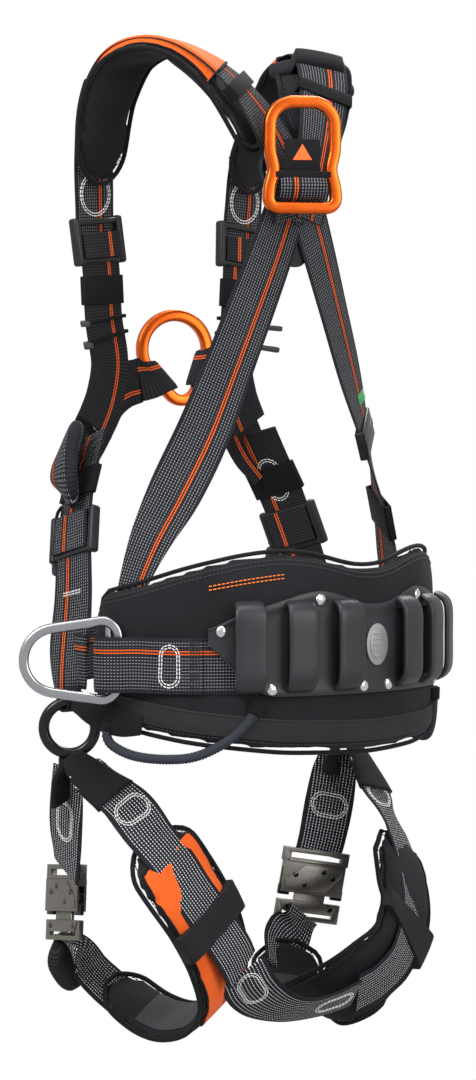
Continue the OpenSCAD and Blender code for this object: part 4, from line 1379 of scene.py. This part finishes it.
class HARNESS_OT_chest(bpy.types.Operator):
    """Front straps, the straps to the chest ring and the risers down to the hips"""
    bl_idname = "harness.chest"
    bl_label = "Chest and risers"

    def execute(self, context):
        chest = {"left": CHEST_LEFT_ROUTE, "right": [p[:] for p in CHEST_RIGHT_ROUTE]}
        for side, flip in (("left", False), ("right", True)):
            pick = (lambda r: mirrored(r)) if flip else (lambda r: r)
            front = Lay.along(pick(FRONT_ROUTE), BEHIND, UP, 12)
            LAYS["front_" + side] = front
            give(strap(f"front_strap_{side}_webbing", front), "harness", f"front_strap_{side}",
                 "plain_webbing", M["lined_webbing" + ("_right" if flip else "")])
            lay = Lay.along(chest[side], BEHIND, UP, 12)
            LAYS["chest_" + side] = lay
            give(strap(f"chest_strap_{side}_webbing", lay), "harness", f"chest_strap_{side}",
                 "plain_webbing", M["lined_webbing" + ("_right" if flip else "")])
            riser = Lay.along(pick(RISER_ROUTE), SIDE_C, UP, 12)
            LAYS["riser_" + side] = riser
            give(strap(f"riser_{side}_webbing", riser), "harness", "riser_straps" if not flip else (),
                 "webbing",
                 M["lined_webbing_right" if flip else "webbing"])
            bartack(riser, riser.length * 0.62, 0.009, faces=(1, -1), rows=2)
            if flip:
                oval(riser, riser.length * 0.2, 0.04, 0.0105, faces=(-1,))
            oval(lay, lay.length * 0.42, 0.04, 0.012, faces=(1, -1))
        tail = Lay.along(FRONT_TAIL_ROUTE, (0, 0, 150), UP, 12)
        tail.w = np.full(len(tail.w), 0.044)
        roll = loft("front_strap_left_tail", tail, box_section(28, 0.6), 15 * MM, rounded(tail, 0.02) ** 0.6)
        give(shade(roll, 60), "harness", (), "plain_webbing", M["webbing"])
        for node, name, material, slot in (
                ("strap_keepers", "strap_keeper_bands", "elastic", "elastic"),
                ("parking_tabs", "parking_tab_grips", "rubber", "rubber")):
            give(refined(node, name, 0.7, 2, 35, 40), "harness", node, slot, M[material])
        parts, folds = [], []
        for side in ("left", "right"):
            for key, share in (("front_", 0.04), ("riser_", 0.4)):
                lay = LAYS[key + side]
                for u in (-0.0258, 0.0258):
                    parts.append(block("cheek", (6.5, 9.5, 40), on_lay(lay, share, 0, u), 2.6, 4))
                for off in (-16, 0, 16):
                    bar = on_lay(lay, share) @ Matrix.Translation(Vector((0, 0, off)) * MM)
                    parts.append(block("bar", (50, 7, 4.5), bar, 1.4, 3))
                for out in (-0.0048, 0.0048):
                    run = lay.part(max(lay.s[0], lay.s[0] + share * lay.length - 0.017),
                                   lay.s[0] + share * lay.length + 0.014, 12)
                    run.p = run.p + run.f * out
                    run.w = np.full(len(run.w), 0.0445)
                    fold = strap("fold", run, 2.6)
                    plain = key == "riser_" and side == "left"
                    lined = "lined_webbing" + ("_right" if side == "right" else "")
                    fold.data.materials.append(M["webbing" if plain else lined])
                    folds.append(fold)
        give(join("strap_adjuster_frames", parts), "harness", "strap_adjusters", "black_plastic",
             M["black_plastic"])
        give(join("strap_adjuster_folds", folds), "harness", (), "plain_webbing")
        return {"FINISHED"}


class HARNESS_OT_rings(bpy.types.Operator):
    """Back, chest, side and hip rings with their loops"""
    bl_idname = "harness.rings"
    bl_label = "Rings"

    def execute(self, context):
        at = turned(DORSAL_BAR, (-36, "Z"))
        dorsal = ring("dorsal_ring_bar", [(-20, 8, 8), (20, 8, 8), (8, 67, 19), (-8, 67, 19)], 10, 9.4, at,
                      0.55, (31, 11, 0.13))
        give(dorsal, "back_ring", "dorsal_ring", "orange_aluminium", M["orange_metal"])
        card = block("dorsal_ring_card", (30, 1.4, 28), at @ Matrix.Translation(Vector((0, 0, 42)) * MM), 0.5)
        give(card, "back_ring", (), "black_fabric", M["piping"])
        wedge = []
        for y in (-1, 1):
            verts = [(-8, y * 0.7, 39), (8, y * 0.7, 39), (0, y * 0.7, 52), (-8, y * 1.2, 39),
                     (8, y * 1.2, 39), (0, y * 1.2, 52)]
            faces = [(0, 1, 2), (3, 4, 5), (0, 1, 4, 3), (1, 2, 5, 4), (2, 0, 3, 5)]
            wedge.append(place(mesh_of("wedge", [tuple(np.array(v) * MM) for v in verts], faces), at))
        give(join("dorsal_ring_card_mark", wedge), "back_ring", (), "orange_aluminium", M["orange_mark"])
        band = [block("band", (44, 1.4, 5), at @ Matrix.Translation(Vector((0, y, 27)) * MM),
                      0.5) for y in (-5.6, 5.6)]
        band += [block("band", (1.4, 12.4, 5), at @ Matrix.Translation(Vector((x, 0, 27)) * MM),
                       0.5) for x in (-22, 22)]
        give(join("dorsal_ring_band", band), "back_ring", (), "elastic", M["elastic"])
        # The loop passes through the ring's window above its bar, not round the bar.
        route = [[0, 14, 30], [0, 4, 29], [0, -5, 24], [0, -8, 17], [0, -4, 10], [0, 6, 7], [0, 14, 7]]
        roll = Lay.along([p + [0, 38] for p in route], (0, 6, 18), ACROSS, 8)
        loop = place(strap("dorsal_loop_wrap", roll, 2.6), at)
        give(loop, "harness", "dorsal_loop", "webbing", M["webbing"])

        at = turned(STERNAL_MIDDLE, (-28, "Z"), (-12, "Y"))
        sternal = ring("sternal_ring_bar", [(0, -20, 14), (0, 10, 29)], 10, 9.4, at, 0.5)
        give(sternal, "chest_ring", "sternal_ring", "orange_aluminium", M["orange_metal"])
        wraps = []
        for side in (-1, 1):
            path = [(36, -1.6, 37), (27, -4.5, 36), (20, -7.2, 33), (14, -5.8, 31), (12.2, 0, 30),
                    (14, 5.8, 31),
                    (20, 7.2, 33), (27, 4.5, 36), (36, 1.6, 37)]
            rows = smooth([[side * x, y, -9, 0, w] for x, y, w in path], 6)
            d = unit(np.gradient(rows[:, :3], axis=0))
            lean = math.radians(30) * np.clip((34 - np.abs(rows[:, 0])) / 11, 0, 1)
            b = np.column_stack([side * np.sin(lean), 0 * lean, np.cos(lean)])
            lay = Lay(rows[:, :3] * MM, unit(np.cross(b, d)) * side, b, rows[:, 4] * MM)
            wraps.append(place(strap("wrap", lay, 2.0), at))
        give(join("sternal_ring_loop_wraps", wraps), "chest_ring", "sternal_ring_loops", "plain_webbing",
             M["lined_webbing"])

        at = turned(SIDE_BAR, (133 - 180, "Z"))
        shape = [(-42, 0, 26), (-5.5, -18.5, 13), (-5.5, 18.5, 13)]
        left = ring("side_ring_left_bar", shape, 8, 7.4, at, 0.6)
        pin = tube("pin", [(0, 0, z * MM) for z in np.linspace(-29, 29, 8)], 0.0025, sides=20)
        left = join("side_ring_left_bar", [left, shade(place(pin, at), 40)])
        right = twin(left, "side_ring_right_bar")
        give(left, "left_side_ring", "side_ring_left", "silver_aluminium", M["silver"])
        give(right, "right_side_ring", "side_ring_right", "silver_aluminium", M["silver"])
        sleeves = refined("side_ring_sleeves", "side_ring_sleeve_wraps", 0.5, 2, 35, 40)
        give(sleeves, "harness", "side_ring_sleeves", "black_fabric", M["plain_webbing"])

        at = turned(HIP_RING, (-47, "Z"))
        left = ring("hip_ring_left_bar", [(-0.01, 0, 21), (0.01, 0, 21)], 9, 9, at, 0.8)
        right = twin(left, "hip_ring_right_bar")
        give(left, "leg_loops", "hip_ring_left", "black_aluminium", M["black_metal"])
        give(right, "leg_loops", "hip_ring_right", "black_aluminium", M["black_metal"])
        lay = Lay.along(HIP_BAND_ROUTE, WAIST, UP, 10)
        band = shade(loft("hip_band_left", lay, soft_section(), 5 * MM), 0)
        other = twin(band, "hip_band_right")
        give(band, "harness", "hip_bands", "black_fabric", M["piping"])
        give(other, "harness", (), "black_fabric", M["piping"])
        sleeves = refined("hip_sleeves", "hip_sleeve_wraps", 0.5, 2, 35, 40)
        give(sleeves, "leg_loops", "hip_sleeves", "black_fabric", M["piping"])
        return {"FINISHED"}


class HARNESS_OT_leg_loops(bpy.types.Operator):
    """Leg straps, pads and the seat strap"""
    bl_idname = "harness.leg_loops"
    bl_label = "Leg loops"

    def execute(self, context):
        look = context.scene.harness_look
        for name, route, centre, axis, ends in (
                ("leg_strap_left", LEG_LEFT_ROUTE, LEFT_LEG, FREE, (0.24,)),
                ("leg_strap_right", LEG_RIGHT_ROUTE, RIGHT_LEG, FREE, (0.18,)),
                ("seat_strap", SEAT_ROUTE, (0, 0, -200), ACROSS, (0.15, 0.85)),
                ("leg_front_strap_left", LEG_FRONT_LEFT_ROUTE, (-50, 45, 0), UP, (0.5,)),
                ("leg_front_strap_right", LEG_FRONT_RIGHT_ROUTE, (110, -40, 0), UP, (0.52,)),
                ("leg_lower_strap_left", LEG_LOWER_LEFT_ROUTE, LEFT_LEG, FREE, ()),
                ("leg_lower_strap_right", LEG_LOWER_RIGHT_ROUTE, RIGHT_LEG, FREE, ())):
            lay = Lay.along(route, centre, axis, 12)
            LAYS[name] = lay
            give(strap(name + "_webbing", lay), "leg_loops", name, "leg_webbing", M["leg_webbing"])
            for share in ends:
                wide = "leg_strap" in name or "right" in name
                oval(lay, lay.length * share, 0.034 if wide else 0.036, 0.0105, body="leg_loops",
                     faces=(1, -1), upright=wide)
        for side, route, centre in (("left", LEG_PAD_LEFT_ROUTE, LEFT_LEG),
                                    ("right", LEG_PAD_RIGHT_ROUTE, RIGHT_LEG)):
            lay = Lay.along(route, centre, FREE, 10)
            pad = padding(f"leg_pad_{side}_body", lay, 9 * MM, look, 0.026, 0.003)
            tree = surface(pad)
            give(pad, "leg_loops", f"leg_pad_{side}", "orange_fabric" if side == "left" else "black_fabric",
                 M["black_fabric"])
            give(piping(f"leg_pad_{side}_binding", lay, 0.026, 0.0021), "leg_loops", (), "black_fabric",
                 M["piping"])
            total = lay.s[-1]
            a, b = total * 0.07, total * 0.6
            ends = rounded(lay, 0.026)
            edge = lambda s: float(np.interp(s, lay.s, lay.w * ends)) / 2 - 0.0055
            cover = "orange_fabric" if side == "left" else "black_fabric"
            panel = patch(f"leg_pad_{side}_panel", tree, lay, a, b, lambda s: -edge(s), edge, 0.0002,
                          M[cover], 0.0012, 60, 14)
            give(panel, "leg_loops", (), cover)
            border = [laid(tree, lay, s, edge(s), 0.0016) for s in np.linspace(a, b, 60)]
            border += [laid(tree, lay, s, -edge(s), 0.0016) for s in np.linspace(b, a, 60)]
            give(tube(f"leg_pad_{side}_edging", border, 0.0012, closed=True, sides=6), "leg_loops", (),
                 "black_fabric", M["piping"])
            sew("leg_loops", "black_thread",
                [laid(tree, lay, s, u, 0.0003) for s, u in outline(lay, 0.026, 0.004, 110)], True)
            lining = patch(f"leg_pad_{side}_lining", tree, lay, total * 0.62, total * 0.86,
                           lambda s: -edge(s) * 0.9,
                           lambda s: edge(s) * 0.9, 0.0003, M["mesh"], 0.0008, 30, 12, back_face=True)
            give(lining, "leg_loops", (), "black_fabric")
            middle = total * 0.3
            run = lay.part(middle - 0.012, middle + 0.012, 9)
            run.w = run.w + 0.004
            run.p = run.p + run.f * 0.0035
            band = loft("band", run, box_section(28, 0.35), (16 if side == "left" else 15) * MM)
            give(shade(band, 40), "leg_loops", "leg_pad_bands" if side == "left" else (), "elastic",
                 M["elastic"])
            band.name = f"leg_pad_{side}_band"
        tail = Lay.along([[-120, 81, -240, 0, 40], [-114, 84, -250, 0, 42], [-106, 82, -262, 0, 42],
                          [-100, 77, -270, 0, 40]], LEFT_LEG, FREE, 10)
        tail.p = tail.p + tail.f * 0.009
        roll = loft("leg_lower_left_roll", tail, box_section(28, 0.6), 16 * MM, rounded(tail, 0.014) ** 0.6)
        give(shade(roll, 60), "leg_loops", (), "leg_webbing", M["plain_webbing"])
        hip_loops()
        return {"FINISHED"}


def hip_loops():
    parts = []
    for name, route in HIP_LOOP_ROUTES.items():
        lay = Lay.along(route, LEFT_LEG if "left" in name else RIGHT_LEG, FREE, 10)
        parts.append(shade(loft(name, lay, soft_section(), 8 * MM), 0))
    give(join("hip_ring_fabric_loops", parts), "leg_loops", "hip_loops", "black_fabric", M["piping"])


class HARNESS_OT_buckles(bpy.types.Operator):
    """The double-latch buckles of the belt and the leg loops"""
    bl_idname = "harness.buckles"
    bl_label = "Buckles"

    def execute(self, context):
        for node, body in NODE_BODY.items():
            if "_buckle_" not in node:
                continue
            material = M["black_metal"] if "latch" in node else M["buckle"]
            give(refined(node, node + "_part", 0.9, 3, 35, 40), body, node, "buckle_steel", material)
        for side, origin, x, y in (("left", (-126, 79, -210), (0.28, 0.95, -0.1), (-0.95, 0.28, 0.1)),
                                   ("right", (132, 37, -216), (0.86, -0.51, -0.16), (0.51, 0.86, 0.05)),
                                   ("belt", (0, 110, 0), (0, 0, 1), (0, 1, 0))):
            x = np.array(unit(x))
            y = np.array(unit(np.cross(np.cross(x, y), x)))
            at = axes_at(np.array(origin) * MM, x, y)
            body = "harness" if side == "belt" else "leg_loops"
            plates, studs = [], []
            for face in (-1, 1):
                for points in ([(-25, 0), (12, 0), (25, 15), (25, 22), (-10, 22), (-25, 8)],
                               [(-26, 24), (26, 24), (24, 26.5), (-24, 26.5)],
                               [(-27, -11), (27, -11), (22, -20), (-22, -20)]):
                    near, far = (4.3, 5.4) if points[0][1] >= 0 else (2.3, 3.4)
                    n = len(points)
                    verts = [(px * MM, face * h * MM, pz * MM) for h in (near, far) for px, pz in points]
                    faces = [tuple(range(n)),
                             tuple(range(n, 2 * n))] + [(i, (i + 1) % n, n + (i + 1) % n,
                                                         n + i) for i in range(n)]
                    plates.append(shade(place(bevel(mesh_of("cover", verts, faces), 0.35, 2), at), 40))
                for px, pz in ((-17, 13), (17, 13), (-8, 5), (8, 18), (-20, -15), (20, -15)):
                    top = 5.4 if pz > 0 else 3.4
                    studs.append(place(tube("stud",
                                            [(px * MM, face * (top - 1) * MM, pz * MM),
                                             (px * MM, face * (top + 0.6) * MM, pz * MM)],
                                            0.0024, sides=20), at))
            give(join(f"{side}_buckle_covers", plates), body, (), "buckle_steel", M["buckle"])
            give(join(f"{side}_buckle_studs", [bevel(o, 0.3, 2) for o in studs]), body, (), "rivet_steel",
                 M["buckle_dark"])
        return {"FINISHED"}


class HARNESS_OT_stitching(bpy.types.Operator):
    """Every row of stitches, one piece for each thread and body"""
    bl_idname = "harness.stitching"
    bl_label = "Stitching"

    def execute(self, context):
        look = context.scene.harness_look
        tree = stitch_tree()
        for (body, thread), lines in SEAMS.items():
            obj = lines_object(f"{thread}_{body}", lines)
            run_tree(obj, tree, {"Spacing": look.stitch_spacing, "Length": look.stitch_spacing * 0.72,
                                 "Radius": look.stitch_radius, "Thread": M[thread]})
            shade(obj, 50)
            give(obj, body, (), "webbing")
        return {"FINISHED"}


OPERATORS = (HARNESS_OT_stage, HARNESS_OT_pull_cords, HARNESS_OT_belt, HARNESS_OT_tool_plate,
             HARNESS_OT_gear_loops,
             HARNESS_OT_back_straps, HARNESS_OT_shoulders, HARNESS_OT_chest, HARNESS_OT_rings,
             HARNESS_OT_leg_loops,
             HARNESS_OT_buckles, HARNESS_OT_stitching)


class HARNESS_PT_sidebar(bpy.types.Panel):
    """Sizes, colours and pieces of the harness"""
    bl_label = "Harness"
    bl_idname = "HARNESS_PT_sidebar"
    bl_space_type = "VIEW_3D"
    bl_region_type = "UI"
    bl_category = "Harness"

    def draw(self, context):
        for group in (context.scene.harness_look, context.scene.harness_stage):
            column = self.layout.column()
            for name in group.bl_rna.properties.keys():
                if name not in ("rna_type", "name"):
                    column.prop(group, name)
        for operator in OPERATORS:
            self.layout.operator(operator.bl_idname)


CLASSES = (HarnessLook, HarnessStage) + OPERATORS + (HARNESS_PT_sidebar,)


def register():
    for c in CLASSES:
        bpy.utils.register_class(c)
    bpy.types.Scene.harness_look = PointerProperty(type=HarnessLook)
    bpy.types.Scene.harness_stage = PointerProperty(type=HarnessStage)


def unregister():
    del bpy.types.Scene.harness_stage
    del bpy.types.Scene.harness_look
    for c in reversed(CLASSES):
        bpy.utils.unregister_class(c)


def main():
    register()
    for operator in OPERATORS:
        group, name = operator.bl_idname.split(".")
        getattr(getattr(bpy.ops, group), name)()
    plain = lambda box: [[float(v) for v in corner] for corner in box]
    {"cad": plain(CAD_BOX), "visual": plain(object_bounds())}


if __name__ == "__main__":
    main()
